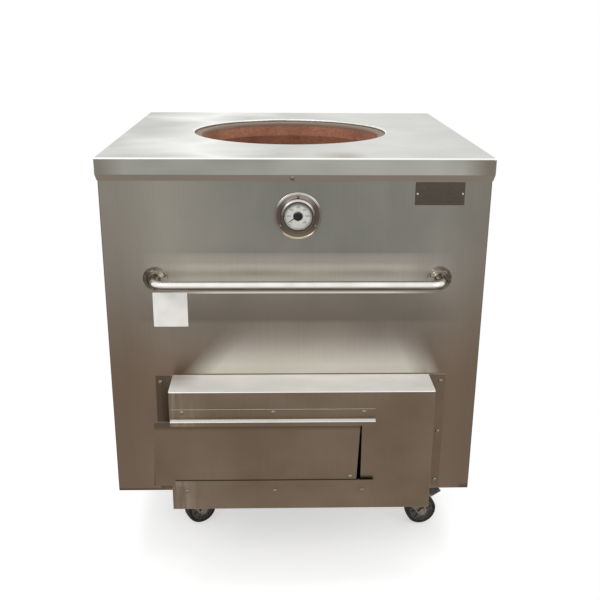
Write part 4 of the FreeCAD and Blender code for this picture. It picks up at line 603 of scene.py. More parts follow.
def make_finishes():
    """One finish for each material slot of the record, and a few that pieces have of their own."""
    return {
        "cover": cover_sheet(),
        "box": box_sheet("brushed_stainless_box", ledge_light=1.0, wipe_and_sheen=0.6),
        "door": box_sheet("brushed_stainless_door", ledge_light=0.3, wipe_and_sheen=0.0, door_shade=0.7),
        "track": box_sheet("brushed_stainless_track", ledge_light=0.0, wipe_and_sheen=0.6),
        "steel_brushed": shell_sheet(),
        "steel_plain": plain_sheet("mill_finish_stainless"),
        "control_steel": plain_sheet("sooted_mill_finish_stainless", black_shaded=1.0),
        "steel_polished": polished_tube(),
        "rose": rose_steel(),
        "gauge_steel": spun_steel(),
        "screw_steel": screw_steel(),
        "zinc_steel": zinc_plate(),
        # stamped steel under a purple-grey lacquer, worn by shoes
        "pedal_steel": mottled("lacquered_pedal_steel", 6.0, "#857A7F", "#B3ABAD", (0.34, 0.5), detail=4.0,
                               reach=(0.5, 0.66), Specular_IOR_Level=0.5),
        # black chassis enamel, sprayed: satin, with orange peel and a film of dust
        "frame_paint": mottled("sprayed_chassis_enamel", 70.0, "#2B2A29", "#4A4642", (0.38, 0.6), detail=4.0,
                               reach=(0.45, 0.75), grain=(0.08, 0.4, 3.0, 1.0), Specular_IOR_Level=0.5),
        "clay": fired_clay(),
        # castable refractory: buff, with pale grog in it and pinholes from trapped air
        "refractory": mottled("cast_refractory", 6.0, "#A08D74", "#C9BBA2", detail=5.0,
                              grain=(0.8, 0.6), Roughness=0.92, Specular_IOR_Level=0.25),
        # glazed insulator: cream white and glossy, with faint speckles
        "element_ceramic": mottled("glazed_steatite", 2.5, "#E6E0D0", "#C7BCA3", (0.16, 0.3),
                                   reach=(0.55, 0.75), Specular_IOR_Level=0.6),
        "element_sheath": oxidised_sheath(),
        "fibre_fill": loose_fill(),
        "fibre_rope": plaited_rope(),
        "dial_enamel": dial_enamel(),
        # thin charcoal ink, lighter where the screen starved it
        "dial_print": mottled("screen_printed_ink", 1.0, "#1B1A18", "#33312E", detail=2.0, Roughness=0.5),
        "glass": gauge_glass(),
        "needle_black": needle_lacquer(),
        # etched aluminium, its ground dyed dark: a fine brushed grain under a matt bronze-grey
        "plate_dark": mottled("dyed_aluminium_plate", (14.0, 0.7, 0.7), "#4A433B", "#585047", (0.32, 0.46),
                              grain=(0.02, 0.4), Metallic=1.0),
        # blind rivets, as headed: pale and satin
        "rivet_aluminium": mottled("headed_rivet_aluminium", 1.2, "#B4B1AA", "#D0CEC8", (0.3, 0.45),
                                   detail=2.0, Metallic=1.0),
        # vinyl-coated paper: warm white, a little yellowed, with a soft shine and a faint ripple
        "label_paper": mottled("coated_label_paper", 30.0, "#ECE9E2", "#F8F6F1", (0.35, 0.5),
                               grain=(0.4, 0.4), IOR=1.45),
        "control_plastic": moulded("black_glass_filled_nylon", "#1F1E1D", "#2B2A28", 0.4),
        "knob_plastic": moulded("black_phenolic", "#161514", "#201E1C", 0.22),
        "rocker_plastic": moulded("black_gloss_abs", "#191818", "#242322", 0.2),
        "contactor_plastic": moulded("grey_polycarbonate", "#7F8386", "#8E9295", 0.38),
        "gland_plastic": moulded("black_polyamide_gland", "#202020", "#2D2C2B", 0.42),
        # polycarbonate, dyed red: glossy and see-through, ribbed by its mould
        "lamp_lens": mottled("red_polycarbonate_lens", 1.5, "#B01F18", "#D83A28", detail=1.0,
                             Transmission_Weight=0.6, IOR=1.58, Roughness=0.12),
        # extruded sleeve: soft grey-white with a satin skin and dusty smears
        "wire_insulation": mottled("extruded_silicone", 22.0, "#B9B4A8", "#8D8678", (0.45, 0.62), IOR=1.43,
                                   Sheen_Weight=0.1),
        # capillary and bulb: warm and bright, browned where they have been handled
        "sensor_copper": mottled("drawn_copper", 12.0, "#B8714A", "#7C4A31", (0.25, 0.42), Metallic=1.0),
        # tread: black-brown, matt, greyed by dust where it rolls
        "wheel_rubber": mottled("moulded_rubber_tread", 7.0, "#171311", "#4F463E", (0.5, 0.78), detail=4.0,
                                reach=(0.4, 0.75), grain=(0.2, 0.4), IOR=1.5,
                                Specular_IOR_Level=0.2),
        "wheel_hub": moulded("grey_black_polypropylene_hub", "#453D37", "#5A5149", 0.42),
    }


finishes = make_finishes()
OWN_FINISH = {"top_cover": "cover", "front_box": "box", "upper_track": "box", "lower_track": "track",
              "sliding_door": "door", "control_plate": "control_steel", "bar_roses": "rose"}


def finish_nodes():
    """Gives each node of the frame its own finish, or else that of its material slot."""
    for name, node in frame["nodes"].items():
        finish = finishes[OWN_FINISH.get(name, node.material_slots[0].name)]
        for material_slot in node.material_slots:
            material_slot.material = finish


finish_nodes()


# ---- tools for making pieces ----


def put_in_scene(name, data):
    """A new object made of a mesh, a curve, a lamp or a camera."""
    thing = bpy.data.objects.new(name, data)
    bpy.context.scene.collection.objects.link(thing)
    return thing


def add_piece(name, mesh, finish, body="root", replaces=()):
    """Puts a finished mesh in the scene. It moves with a body and stands for nodes of the frame."""
    mesh.name = name
    mesh.materials.clear()
    mesh.materials.append(finishes[finish])
    piece = put_in_scene(name, mesh)
    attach(piece, body)
    if replaces:
        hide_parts(*replaces)


def softened(mesh):
    """A mesh shaded smooth, but for its sharp edges."""
    mesh.shade_smooth()
    mesh.set_sharp_from_angle(angle=SMOOTH_ANGLE)
    return mesh


def finished(shape):
    """A bmesh as a mesh: doubles merged, faces outward, and smooth but for its sharp edges."""
    bmesh.ops.remove_doubles(shape, verts=shape.verts, dist=1e-6)
    bmesh.ops.recalc_face_normals(shape, faces=shape.faces)
    mesh = bpy.data.meshes.new("piece")
    shape.to_mesh(mesh)
    shape.free()
    return softened(mesh)


def taken_from(holder):
    """The plain mesh of an object, which is removed."""
    mesh = bpy.data.meshes.new_from_object(holder.evaluated_get(bpy.context.evaluated_depsgraph_get()))
    bpy.data.objects.remove(holder)
    return mesh


def arc(centre, radius, start, end, steps):
    """Points of a round stretch in millimetres, from start to end degrees about centre."""
    angles = [math.radians(start + (end - start) * i / steps) for i in range(steps + 1)]
    return [(centre[0] + radius * math.cos(a), centre[1] + radius * math.sin(a)) for a in angles]


def turn_to(axis):
    """The rotation that turns +Z to an axis."""
    return Z.rotation_difference(axis).to_matrix()


def turned(shape, profile, centre, axis, steps, closed=False):
    """Adds a surface of revolution to shape: profile is (radius, height) points in millimetres, about an
    axis through centre."""
    turn = turn_to(axis)
    angles = [2 * math.pi * i / steps for i in range(steps)]
    rings = []
    for radius, height in profile:
        around = angles if radius > 0.001 else [0.0]
        rings.append([shape.verts.new(centre + turn @ Vector(
            (radius * math.cos(a), radius * math.sin(a), height)) * MM) for a in around])
    pairs = list(zip(rings, rings[1:]))
    if closed:
        pairs.append((rings[-1], rings[0]))
    for low, high in pairs:
        for i in range(steps):
            j = (i + 1) % steps
            corners = [low[i % len(low)], low[j % len(low)], high[j % len(high)], high[i % len(high)]]
            corners = list(dict.fromkeys(corners))
            if len(corners) > 2:
                shape.faces.new(corners)


def turned_mesh(profile, centre, axis, steps=96, closed=False):
    shape = bmesh.new()
    turned(shape, profile, centre, axis, steps, closed)
    return finished(shape)


def bent_path(corners, bend, steps):
    """Points in metres along straight runs joined by round bends."""
    path = [corners[0]]
    for before, corner, after in zip(corners, corners[1:], corners[2:]):
        back, ahead = (before - corner).normalized(), (after - corner).normalized()
        half = back.angle(ahead) / 2
        middle = corner + (back + ahead).normalized() * (bend / math.sin(half))
        start = corner + back * (bend / math.tan(half)) - middle
        end = corner + ahead * (bend / math.tan(half)) - middle
        path += [middle + start.slerp(end, i / steps) * bend for i in range(steps + 1)]
    return path + [corners[-1]]


def swept(shape, path, radius, sides):
    """Adds a round bar along a path to shape, closed at both ends."""
    side = (path[1] - path[0]).orthogonal().normalized()
    angles = [2 * math.pi * k / sides for k in range(sides)]
    rings = []
    for i, point in enumerate(path):
        ahead = (path[min(i + 1, len(path) - 1)] - path[max(i - 1, 0)]).normalized()
        side = (side - ahead * side.dot(ahead)).normalized()
        other = ahead.cross(side)
        rings.append([shape.verts.new(point + (side * math.cos(a) + other * math.sin(a)) * radius)
                      for a in angles])
    for low, high in zip(rings, rings[1:]):
        for k in range(sides):
            m = (k + 1) % sides
            shape.faces.new((low[k], low[m], high[m], high[k]))
    shape.faces.new(rings[0])
    shape.faces.new(rings[-1])


def rounded_plate(low, high, corner, edge):
    """A flat upright plate between two corners, with round corners and a softened front edge."""
    shape = bmesh.new()
    bmesh.ops.create_cube(shape, size=1.0)
    size, middle = high - low, (low + high) / 2
    for vert in shape.verts:
        vert.co = middle + Vector([c * s for c, s in zip(vert.co, size)])
    through = [e for e in shape.edges if abs(e.verts[0].co.y - e.verts[1].co.y) > 1e-6]
    bmesh.ops.bevel(shape, geom=through, offset=corner, segments=6, profile=0.5, affect="EDGES")
    front = [e for e in shape.edges if all(v.co.y < low.y + 1e-7 for v in e.verts)]
    bmesh.ops.bevel(shape, geom=front, offset=edge, segments=2, profile=0.5, affect="EDGES")
    return finished(shape)


def solids_of(node):
    """The middle of each separate solid in a node of the frame."""
    shape = bmesh.new()
    shape.from_mesh(frame["nodes"][node].data)
    bmesh.ops.remove_doubles(shape, verts=shape.verts, dist=1e-6)
    left, middles = set(shape.verts), []
    while left:
        front = [left.pop()]
        found = list(front)
        while front:
            near = {e.other_vert(v) for v in front for e in v.link_edges} & left
            left -= near
            front = list(near)
            found += front
        spans = [(min(v.co[i] for v in found), max(v.co[i] for v in found)) for i in range(3)]
        middles.append(Vector([(a + b) / 2 for a, b in spans]))
    shape.free()
    return sorted(middles, key=lambda m: (round(m.x, 4), round(m.y, 4), round(m.z, 4)))


# ---- shapes set on the points of a mesh ----

def new_group(name, **inputs):
    """The nodes of a geometry tree that takes seats and gives shapes, and the sockets of its inputs."""
    tree = bpy.data.node_groups.new(name, "GeometryNodeTree")
    for socket, kind in {"Seats": "Geometry", **inputs, "Finish": "Material"}.items():
        tree.interface.new_socket(socket, in_out="INPUT", socket_type="NodeSocket" + kind)
    tree.interface.new_socket("Shapes", in_out="OUTPUT", socket_type="NodeSocketGeometry")
    nodes = Nodes(tree)
    return nodes, nodes.add("NodeGroupInput").outputs


def outward_turn(nodes):
    """The rotation that stands a shape along its seat's outward vector."""
    outward = nodes.add("GeometryNodeInputNamedAttribute", {"Name": "outward"}, data_type="FLOAT_VECTOR")
    return nodes.add("FunctionNodeAlignRotationToVector", {
        "Vector": outward.outputs["Attribute"]}, axis="Z").outputs["Rotation"]


def end_group(nodes, given, shape, turn):
    """Ends a tree with a shape on every seat, turned and painted."""
    placed = nodes.add("GeometryNodeInstanceOnPoints", {
        "Points": given["Seats"], "Instance": shape, "Rotation": turn}).outputs["Instances"]
    real = nodes.add("GeometryNodeRealizeInstances", {"Geometry": placed}).outputs["Geometry"]
    painted = nodes.add("GeometryNodeSetMaterial", {"Geometry": real, "Material": given["Finish"]})
    nodes.add("NodeGroupOutput", {"Shapes": painted.outputs["Geometry"]})


def grown(tree, seats, values):
    """The plain mesh that a geometry tree makes on (place, outward) seats."""
    mesh = bpy.data.meshes.new("seats")
    mesh.from_pydata([place for place, outward in seats], [], [])
    directions = mesh.attributes.new("outward", "FLOAT_VECTOR", "POINT")
    for item, (place, outward) in zip(directions.data, seats):
        item.vector = outward
    holder = put_in_scene("seats", mesh)
    modifier = holder.modifiers.new("grown", "NODES")
    modifier.node_group = tree
    for socket in tree.interface.items_tree:
        if socket.in_out == "INPUT" and socket.name in values:
            modifier[socket.identifier] = values[socket.name]
    return softened(taken_from(holder))


# ---- fasteners ----

SCREW_HEAD_RADIUS = 4.6
SCREW_HEAD_HEIGHT = 2.4
SCREW_LENGTH = 9.0
GAUGE_SCREW_RADIUS = 3.3
RIVET_RADIUS = 2.2
RIVET_HEAD = 1.2
RIVET_LENGTH = 4.0
HEAD_SIDES = 24
SKIRT_SLOPE = Vector((0, -SKIRT_TURN_IN, -3.0)).normalized()


def fastener_tree():
    """Sets a domed head, plain or with a crossed recess, on every seat, turned at random."""
    nodes, given = new_group("fasteners", Radius="Float", Height="Float", Crown="Float", Crossed="Bool",
                             Seed="Int")
    head = nodes.add("GeometryNodeMeshCylinder", {
        "Vertices": HEAD_SIDES, "Radius": given["Radius"], "Depth": nodes.product(given["Height"], 0.9)},
        fill_type="NGON").outputs
    shape, top = head["Mesh"], head["Top"]
    for rise, share in ((0.40, 0.84), (0.15, given["Crown"])):
        raised = nodes.add("GeometryNodeExtrudeMesh", {
            "Mesh": shape, "Selection": top, "Offset Scale": nodes.product(given["Height"], rise),
            "Individual": False}, mode="FACES").outputs
        top = raised["Top"]
        shape = nodes.add("GeometryNodeScaleElements", {
            "Geometry": raised["Mesh"], "Selection": top, "Scale": share}).outputs["Geometry"]
    cut = shape
    lift = nodes.add("ShaderNodeCombineXYZ", {"Z": given["Height"]}).outputs["Vector"]
    for along, across, deep in ((1.1, 0.3, 1.2), (0.3, 1.1, 1.1)):
        size = nodes.add("ShaderNodeCombineXYZ", {
            "X": nodes.product(given["Radius"], along), "Y": nodes.product(given["Radius"], across),
            "Z": nodes.product(given["Height"], deep)}).outputs["Vector"]
        cube = nodes.add("GeometryNodeMeshCube", {"Size": size}).outputs["Mesh"]
        slot = nodes.add("GeometryNodeTransform", {
            "Geometry": cube, "Translation": lift}).outputs["Geometry"]
        cut = nodes.add("GeometryNodeMeshBoolean", {"Mesh 1": cut, "Mesh 2": slot},
                        operation="DIFFERENCE").outputs["Mesh"]
    shape = nodes.add("GeometryNodeSwitch", {
        "Switch": given["Crossed"], "False": shape, "True": cut}, input_type="GEOMETRY").outputs["Output"]
    angle = nodes.add("FunctionNodeRandomValue", {3: math.pi, "Seed": given["Seed"]},
                      data_type="FLOAT").outputs[1]
    spin = nodes.add("FunctionNodeAxisAngleToRotation", {"Axis": Z, "Angle": angle}).outputs["Rotation"]
    turn = nodes.add("FunctionNodeRotateRotation", {
        "Rotation": outward_turn(nodes), "Rotate By": spin}, rotation_space="LOCAL").outputs["Rotation"]
    end_group(nodes, given, shape, turn)
    return nodes.tree


def add_fasteners(name, tree, seats, node, finish="screw_steel", radius=SCREW_HEAD_RADIUS,
                  height=SCREW_HEAD_HEIGHT, body="root", crown=0.6, crossed=True, seed=1):
    """Sets fasteners that stand for a node of the frame."""
    mesh = grown(tree, seats, {
        "Radius": radius * MM, "Height": height * MM, "Crown": crown, "Crossed": crossed, "Seed": seed,
        "Finish": finishes[finish]})
    add_piece(name, mesh, finish, body, [node])


def seated(middles, outward, length=SCREW_LENGTH, height=SCREW_HEAD_HEIGHT):
    """Seats of fasteners, from the middles of their solids: length is below the seat, height above it."""
    return [(middle + outward * (length - height) / 2 * MM, outward) for middle in middles]


def fit_fasteners():
    """Screws of the panels, door and thermometer, and the name plate's rivets, seated where their solids sit.
    Those above the skirt's lower edge lean with the skirt."""
    tree = fastener_tree()
    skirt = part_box("top_cover")[0].z
    screws = solids_of("panel_screws")
    panels = seated([m for m in screws if m.y > 0], Y)
    panels += seated([m for m in screws if m.z > skirt], SKIRT_SLOPE)
    panels += seated([m for m in screws if m.y < 0 and m.z < skirt], FRONT)
    door = seated(solids_of("door_screw"), FRONT)
    gauge = seated(solids_of("thermometer_screws"), FRONT)
    rivets = seated(solids_of("nameplate_rivets"), FRONT, RIVET_LENGTH, RIVET_HEAD)
    add_fasteners("panel_screw_heads", tree, panels, "panel_screws", seed=3)
    add_fasteners("door_screw_head", tree, door, "door_screw", body="door", seed=5)
    add_fasteners("gauge_screw_heads", tree, gauge, "thermometer_screws", radius=GAUGE_SCREW_RADIUS, seed=7)
    add_fasteners("plate_rivet_heads", tree, rivets, "nameplate_rivets", "rivet_aluminium", RIVET_RADIUS,
                  RIVET_HEAD, crown=0.7, crossed=False)


# ---- bars set in rings: ticks and ribs ----

def bar_tree():
    """Sets a straight bar on every seat, its length along the outward vector and its depth along one common
    vector."""
    nodes, given = new_group("bars", Width="Float", Depth="Float", Length="Float", Facing="Vector")
    size = nodes.add("ShaderNodeCombineXYZ", {
        "X": given["Width"], "Y": given["Depth"], "Z": given["Length"]}).outputs["Vector"]
    bar = nodes.add("GeometryNodeMeshCube", {"Size": size}).outputs["Mesh"]
    turn = nodes.add("FunctionNodeAlignRotationToVector", {
        "Rotation": outward_turn(nodes), "Vector": given["Facing"]},
        axis="Y", pivot_axis="Z").outputs["Rotation"]
    end_group(nodes, given, bar, turn)
    return nodes.tree


def add_bars(shape, tree, centre, axis, angles, radius, height, size, finish):
    """Adds bars to shape, radial about an axis through centre. Angles are in degrees from the axis's side
    vector, and radius and height, of the bars' middles, and size are in millimetres."""
    turn = turn_to(axis)
    seats = []
    for angle in angles:
        a = math.radians(angle)
        outward = turn @ Vector((math.cos(a), math.sin(a), 0))
        seats.append((centre + (outward * radius + axis * height) * MM, outward))
    width, depth, length = [side * MM for side in size]
    shape.from_mesh(grown(tree, seats, {
        "Width": width, "Depth": depth, "Length": length, "Facing": axis, "Finish": finishes[finish]}))


# ---- towel bar ----

BAR_BEND = 27.0
BAR_STUD_RADIUS = 4.0
ROSE_LIP = 1.2
ROSE_BEAD = 1.6


def make_towel_bar():
    """One tube bent back at both ends, each end on a turned rose."""
    low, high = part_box("towel_bar")
    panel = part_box("front_panel")[0].y
    radius = (high.z - low.z) / 2
    z, front = (low.z + high.z) / 2, low.y + radius
    left, right = low.x + radius, high.x - radius
    shape = bmesh.new()
    corners = [Vector((x, y, z)) for x, y in ((left, panel), (left, front), (right, front), (right, panel))]
    swept(shape, bent_path(corners, BAR_BEND * MM, 16), radius, 40)
    for x in (left, right):
        swept(shape, [Vector((x, panel, z)), Vector((x, high.y, z))], BAR_STUD_RADIUS * MM, 16)
    add_piece("towel_bar_tube", finished(shape), "steel_polished", replaces=["towel_bar"])
    roses_low, roses_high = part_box("bar_roses")
    outer, tall = (roses_high.z - roses_low.z) / 2 / MM, (roses_high.y - roses_low.y) / MM
    bore = radius / MM
    profile = [(bore, 0.0), (outer, 0.0)] + arc((outer - ROSE_LIP, ROSE_LIP), ROSE_LIP, 0, 90, 4)
    neck = 2 * ROSE_LIP - 0.4
    profile += [(outer - 2.6, neck)] + arc((outer - 4.0, tall), tall - neck, -90, -150, 6)
    profile += arc((bore + 3.4, tall - ROSE_BEAD), ROSE_BEAD, 45, 180, 6) + [(bore, tall - 2.4)]
    shape = bmesh.new()
    for x in (left, right):
        turned(shape, profile, Vector((x, panel, z)), FRONT, steps=72, closed=True)
    add_piece("towel_bar_roses", finished(shape), "rose", replaces=["bar_roses"])


# ---- thermometer ----

GAUGE_FLANGE = 2.5
GAUGE_STEP = 8.0
GAUGE_STEP_RADIUS = 36.5
GAUGE_ROLL = 1.2
GAUGE_COVE = 2.0
GAUGE_CASE_RADIUS = 30.6
GAUGE_CASE_WALL = 1.4
GAUGE_CASE_ROLL = 1.25
GAUGE_CASE_LIP = 0.9
GAUGE_BORE_LIP = 0.8
GAUGE_STEM_RADIUS = 5.0
GAUGE_BOSS_RADIUS = 9.0
GAUGE_BOSS_BACK = 0.3
GLASS_SEAT = 2.6
GAUGE_DIAL_RADIUS = 29.1
GAUGE_DIAL_BACK = 3.9
GAUGE_DIAL_FACE = 4.5
GAUGE_BORE = 1.6
GLASS_BEVEL = 0.3
SCALE_START = 225.0
SCALE_SWEEP = 270.0
SCALE_MOST = 600
SCALE_STEP = 100
TICKS_PER_STEP = 5
MAJOR_TICK = (0.7, 3.4)
MINOR_TICK = (0.35, 1.9)
TICK_OUTER = 26.4
SCALE_LINE = 0.3
NUMBER_RADIUS = 18.6
NUMBER_HEIGHT = 5.0
PRINT_THICKNESS = 0.12
HUB_RADIUS = 10.0
HUB_HEIGHT = 2.1
HUB_EDGE = 0.3
PIVOT_RADIUS = 1.4
PIVOT_BACK = 1.2
NEEDLE_ANGLE = 237.0
NEEDLE_LENGTH = 24.0
NEEDLE_TAIL = 8.0
NEEDLE_HALF_WIDTHS = ((-NEEDLE_TAIL, 2.2), (0.0, 1.6), (NEEDLE_LENGTH * 0.55, 0.9), (NEEDLE_LENGTH, 0.35))
NEEDLE_THICKNESS = 0.7
NEEDLE_BACK = 4.8


def make_gauge_body(centre):
    """The stepped flange and the case with its rolled rim, both spun."""
    flange_low, flange_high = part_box("thermometer_flange")
    outer = (flange_high.z - flange_low.z) / 2 / MM
    bore = GAUGE_CASE_RADIUS + 0.2
    profile = [(bore, 0.0), (outer, 0.0), (outer, 2.0)]
    profile += arc((outer - GAUGE_ROLL, 2.4), GAUGE_ROLL, 0, 150, 8) + [(outer - 3.0, GAUGE_FLANGE)]
    profile += arc((GAUGE_STEP_RADIUS + GAUGE_COVE, GAUGE_FLANGE + GAUGE_COVE), GAUGE_COVE, -90, -180, 6)
    profile += arc((GAUGE_STEP_RADIUS - GAUGE_ROLL, GAUGE_STEP - GAUGE_ROLL), GAUGE_ROLL, 0, 90, 4)
    lip = (bore + GAUGE_BORE_LIP, GAUGE_STEP - GAUGE_BORE_LIP)
    profile += [(lip[0], GAUGE_STEP)] + arc(lip, GAUGE_BORE_LIP, 90, 180, 3)[1:]
    add_piece("gauge_flange", turned_mesh(profile, centre, FRONT, 128, True), "gauge_steel",
              replaces=["thermometer_flange"])
    case_low, case_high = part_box("thermometer_case")
    rim, front = (case_high.z - case_low.z) / 2 / MM, (centre.y - case_low.y) / MM
    inner = GAUGE_CASE_RADIUS - GAUGE_CASE_WALL
    profile = [(GAUGE_STEM_RADIUS, GAUGE_BOSS_BACK), (GAUGE_BOSS_RADIUS, GAUGE_BOSS_BACK),
               (GAUGE_BOSS_RADIUS, GAUGE_FLANGE), (GAUGE_CASE_RADIUS, GAUGE_FLANGE),
               (GAUGE_CASE_RADIUS, GAUGE_STEP), (rim - 0.6, GAUGE_STEP)]
    profile += arc((rim - GAUGE_CASE_ROLL, GAUGE_STEP + GAUGE_CASE_ROLL), GAUGE_CASE_ROLL, -30, 90, 8)
    profile += arc((inner + 0.6, front - GAUGE_CASE_LIP), GAUGE_CASE_LIP, 90, 180, 5)
    profile += [(inner - 0.4, front - 1.4), (inner - 0.4, front - GLASS_SEAT), (inner, front - GLASS_SEAT),
                (inner, GAUGE_DIAL_BACK), (GAUGE_STEM_RADIUS, GAUGE_DIAL_BACK)]
    add_piece("gauge_case", turned_mesh(profile, centre, FRONT, 128, True), "gauge_steel",
              replaces=["thermometer_case"])


def on_dial(centre, angle, radius, height):
    """A point over the dial: angle is clockwise from the top, radius and height in millimetres."""
    a = math.radians(angle)
    return centre + Vector((radius * math.sin(a), -height, radius * math.cos(a))) * MM


def ring_profile(inner, outer, back, front):
    """The profile of a flat ring."""
    return [(inner, back), (outer, back), (outer, front), (inner, front)]


def make_gauge_dial(centre):
    """An enamelled disc with a printed scale of plain numbers."""
    profile = ring_profile(GAUGE_BORE, GAUGE_DIAL_RADIUS, GAUGE_DIAL_BACK, GAUGE_DIAL_FACE)
    add_piece("gauge_dial", turned_mesh(profile, centre, FRONT, 96, True), "dial_enamel",
              replaces=["thermometer_dial"])
    shape = bmesh.new()
    top = GAUGE_DIAL_FACE + PRINT_THICKNESS
    steps = SCALE_MOST // SCALE_STEP
    ticks = steps * TICKS_PER_STEP
    angles = [90 + 360 - SCALE_START - SCALE_SWEEP * i / ticks for i in range(ticks + 1)]
    major, minor = angles[::TICKS_PER_STEP], [a for i, a in enumerate(angles) if i % TICKS_PER_STEP]
    tree = bar_tree()
    for marks, (width, length) in ((major, MAJOR_TICK), (minor, MINOR_TICK)):
        add_bars(shape, tree, centre, FRONT, marks, TICK_OUTER - length / 2, (GAUGE_DIAL_FACE + top) / 2,
                 (width, PRINT_THICKNESS, length), "dial_print")
    line = ring_profile(TICK_OUTER, TICK_OUTER + SCALE_LINE, GAUGE_DIAL_FACE, top)
    turned(shape, line, centre, FRONT, 96, True)
    for i in range(steps + 1):
        angle = SCALE_START + SCALE_SWEEP * i * SCALE_STEP / SCALE_MOST
        add_number(shape, str(i * SCALE_STEP), on_dial(centre, angle, NUMBER_RADIUS, GAUGE_DIAL_FACE))
    add_piece("gauge_scale", finished(shape), "dial_print", replaces=["thermometer_dial"])


def add_number(shape, text, place):
    """Adds plain figures to shape, upright and facing the front, with their middle at a place."""
    letters = bpy.data.curves.new("number", "FONT")
    letters.body = text
    letters.align_x = "CENTER"
    letters.align_y = "CENTER"
    letters.size = NUMBER_HEIGHT * MM
    letters.extrude = PRINT_THICKNESS * MM / 2
    letters.resolution_u = 3
    mesh = taken_from(put_in_scene("number", letters))
    upright = Matrix.Rotation(math.pi / 2, 4, "X")
    mesh.transform(Matrix.Translation(place + FRONT * PRINT_THICKNESS * MM / 2) @ upright)
    shape.from_mesh(mesh)


def make_gauge_needle(centre):
    """A tapered pointer with a counterweight, under a domed hub."""
    shape = bmesh.new()
    dome = [(HUB_RADIUS * math.cos(a), NEEDLE_BACK + HUB_EDGE + (HUB_HEIGHT - HUB_EDGE) * math.sin(a))
            for a in [math.radians(10 * i) for i in range(9)]]
    profile = [(0.0, NEEDLE_BACK), (HUB_RADIUS, NEEDLE_BACK)] + dome + [(0.0, NEEDLE_BACK + HUB_HEIGHT)]
    turned(shape, profile, centre, FRONT, 64)
    turned(shape, ring_profile(0.0, PIVOT_RADIUS, PIVOT_BACK, NEEDLE_BACK), centre, FRONT, 24)
    outline = [(-NEEDLE_TAIL, -NEEDLE_HALF_WIDTHS[0][1])] + list(NEEDLE_HALF_WIDTHS)
    outline += [(u, -v) for u, v in NEEDLE_HALF_WIDTHS[:0:-1]]
    a = math.radians(NEEDLE_ANGLE)
    along, across = Vector((math.sin(a), 0, math.cos(a))), Vector((math.cos(a), 0, -math.sin(a)))
    back, front = [
        [shape.verts.new(centre + (along * u + across * v + FRONT * height) * MM) for u, v in outline]
        for height in (NEEDLE_BACK, NEEDLE_BACK + NEEDLE_THICKNESS)]
    for i in range(len(outline)):
        j = (i + 1) % len(outline)
        shape.faces.new((back[i], back[j], front[j], front[i]))
    shape.faces.new(back)
    shape.faces.new(front)
    add_piece("gauge_needle", finished(shape), "needle_black", "needle", ["thermometer_needle"])


def make_gauge():
    """The thermometer, built outwards from the middle of its flange's back."""
    low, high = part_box("thermometer_flange")
    centre = Vector(((low.x + high.x) / 2, high.y, (low.z + high.z) / 2))
    make_gauge_body(centre)
    make_gauge_dial(centre)
    make_gauge_needle(centre)
    glass_low, glass_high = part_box("thermometer_glass")
    back, front = (centre.y - glass_high.y) / MM, (centre.y - glass_low.y) / MM
    profile = [(0.0, back), (GAUGE_DIAL_RADIUS, back), (GAUGE_DIAL_RADIUS, front - GLASS_BEVEL),
               (GAUGE_DIAL_RADIUS - GLASS_BEVEL, front), (0.0, front)]
    add_piece("gauge_glass", turned_mesh(profile, centre, FRONT), "glass", replaces=["thermometer_glass"])


# ---- name plate and label ----

PLATE_CORNER = 2.0
PLATE_EDGE = 0.35
LABEL_CELLS = 24
LABEL_RIPPLES = ((0.12, 9, 4), (0.10, -3, 14))


def make_plates():
    """A bare name plate with round corners and a softened front edge, and a bare paper label that has
    lifted a little.
    """
    low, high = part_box("nameplate")
    add_piece("bare_nameplate", rounded_plate(low, high, PLATE_CORNER * MM, PLATE_EDGE * MM), "plate_dark",
              replaces=["nameplate"])
    low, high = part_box("blank_label")
    shape = bmesh.new()
    bmesh.ops.create_grid(shape, x_segments=LABEL_CELLS, y_segments=LABEL_CELLS, size=0.5)
    size, middle = high - low, (low + high) / 2
    for vert in shape.verts:
        u, v = vert.co.x, vert.co.y
        lift = sum(height * MM * math.sin(a * u + b * v) for height, a, b in LABEL_RIPPLES)
        vert.co = Vector((middle.x + u * size.x, high.y - size.y - abs(lift), middle.z + v * size.z))
    made = bmesh.ops.extrude_face_region(shape, geom=shape.faces[:])
    for item in made["geom"]:
        if isinstance(item, bmesh.types.BMVert):
            item.co.y = high.y
    add_piece("bare_label", finished(shape), "label_paper", replaces=["blank_label"])


# ---- casters' wheels ----

WHEEL_RADIUS = 38.0
WHEEL_HALF = 14.0
TREAD_ROUND = 4.0
RIM_RADIUS = 29.0
RIM_SETBACK = 1.4
HUB_HALF = 15.1
HUB_END_RADIUS = 11.0
HUB_END_BEVEL = 0.6
AXLE_BORE = 6.05
WEB_HALF = 9.5
WHEEL_RIBS = 8
RIB_WIDTH = 2.2
RIB_DEPTH = 3.2


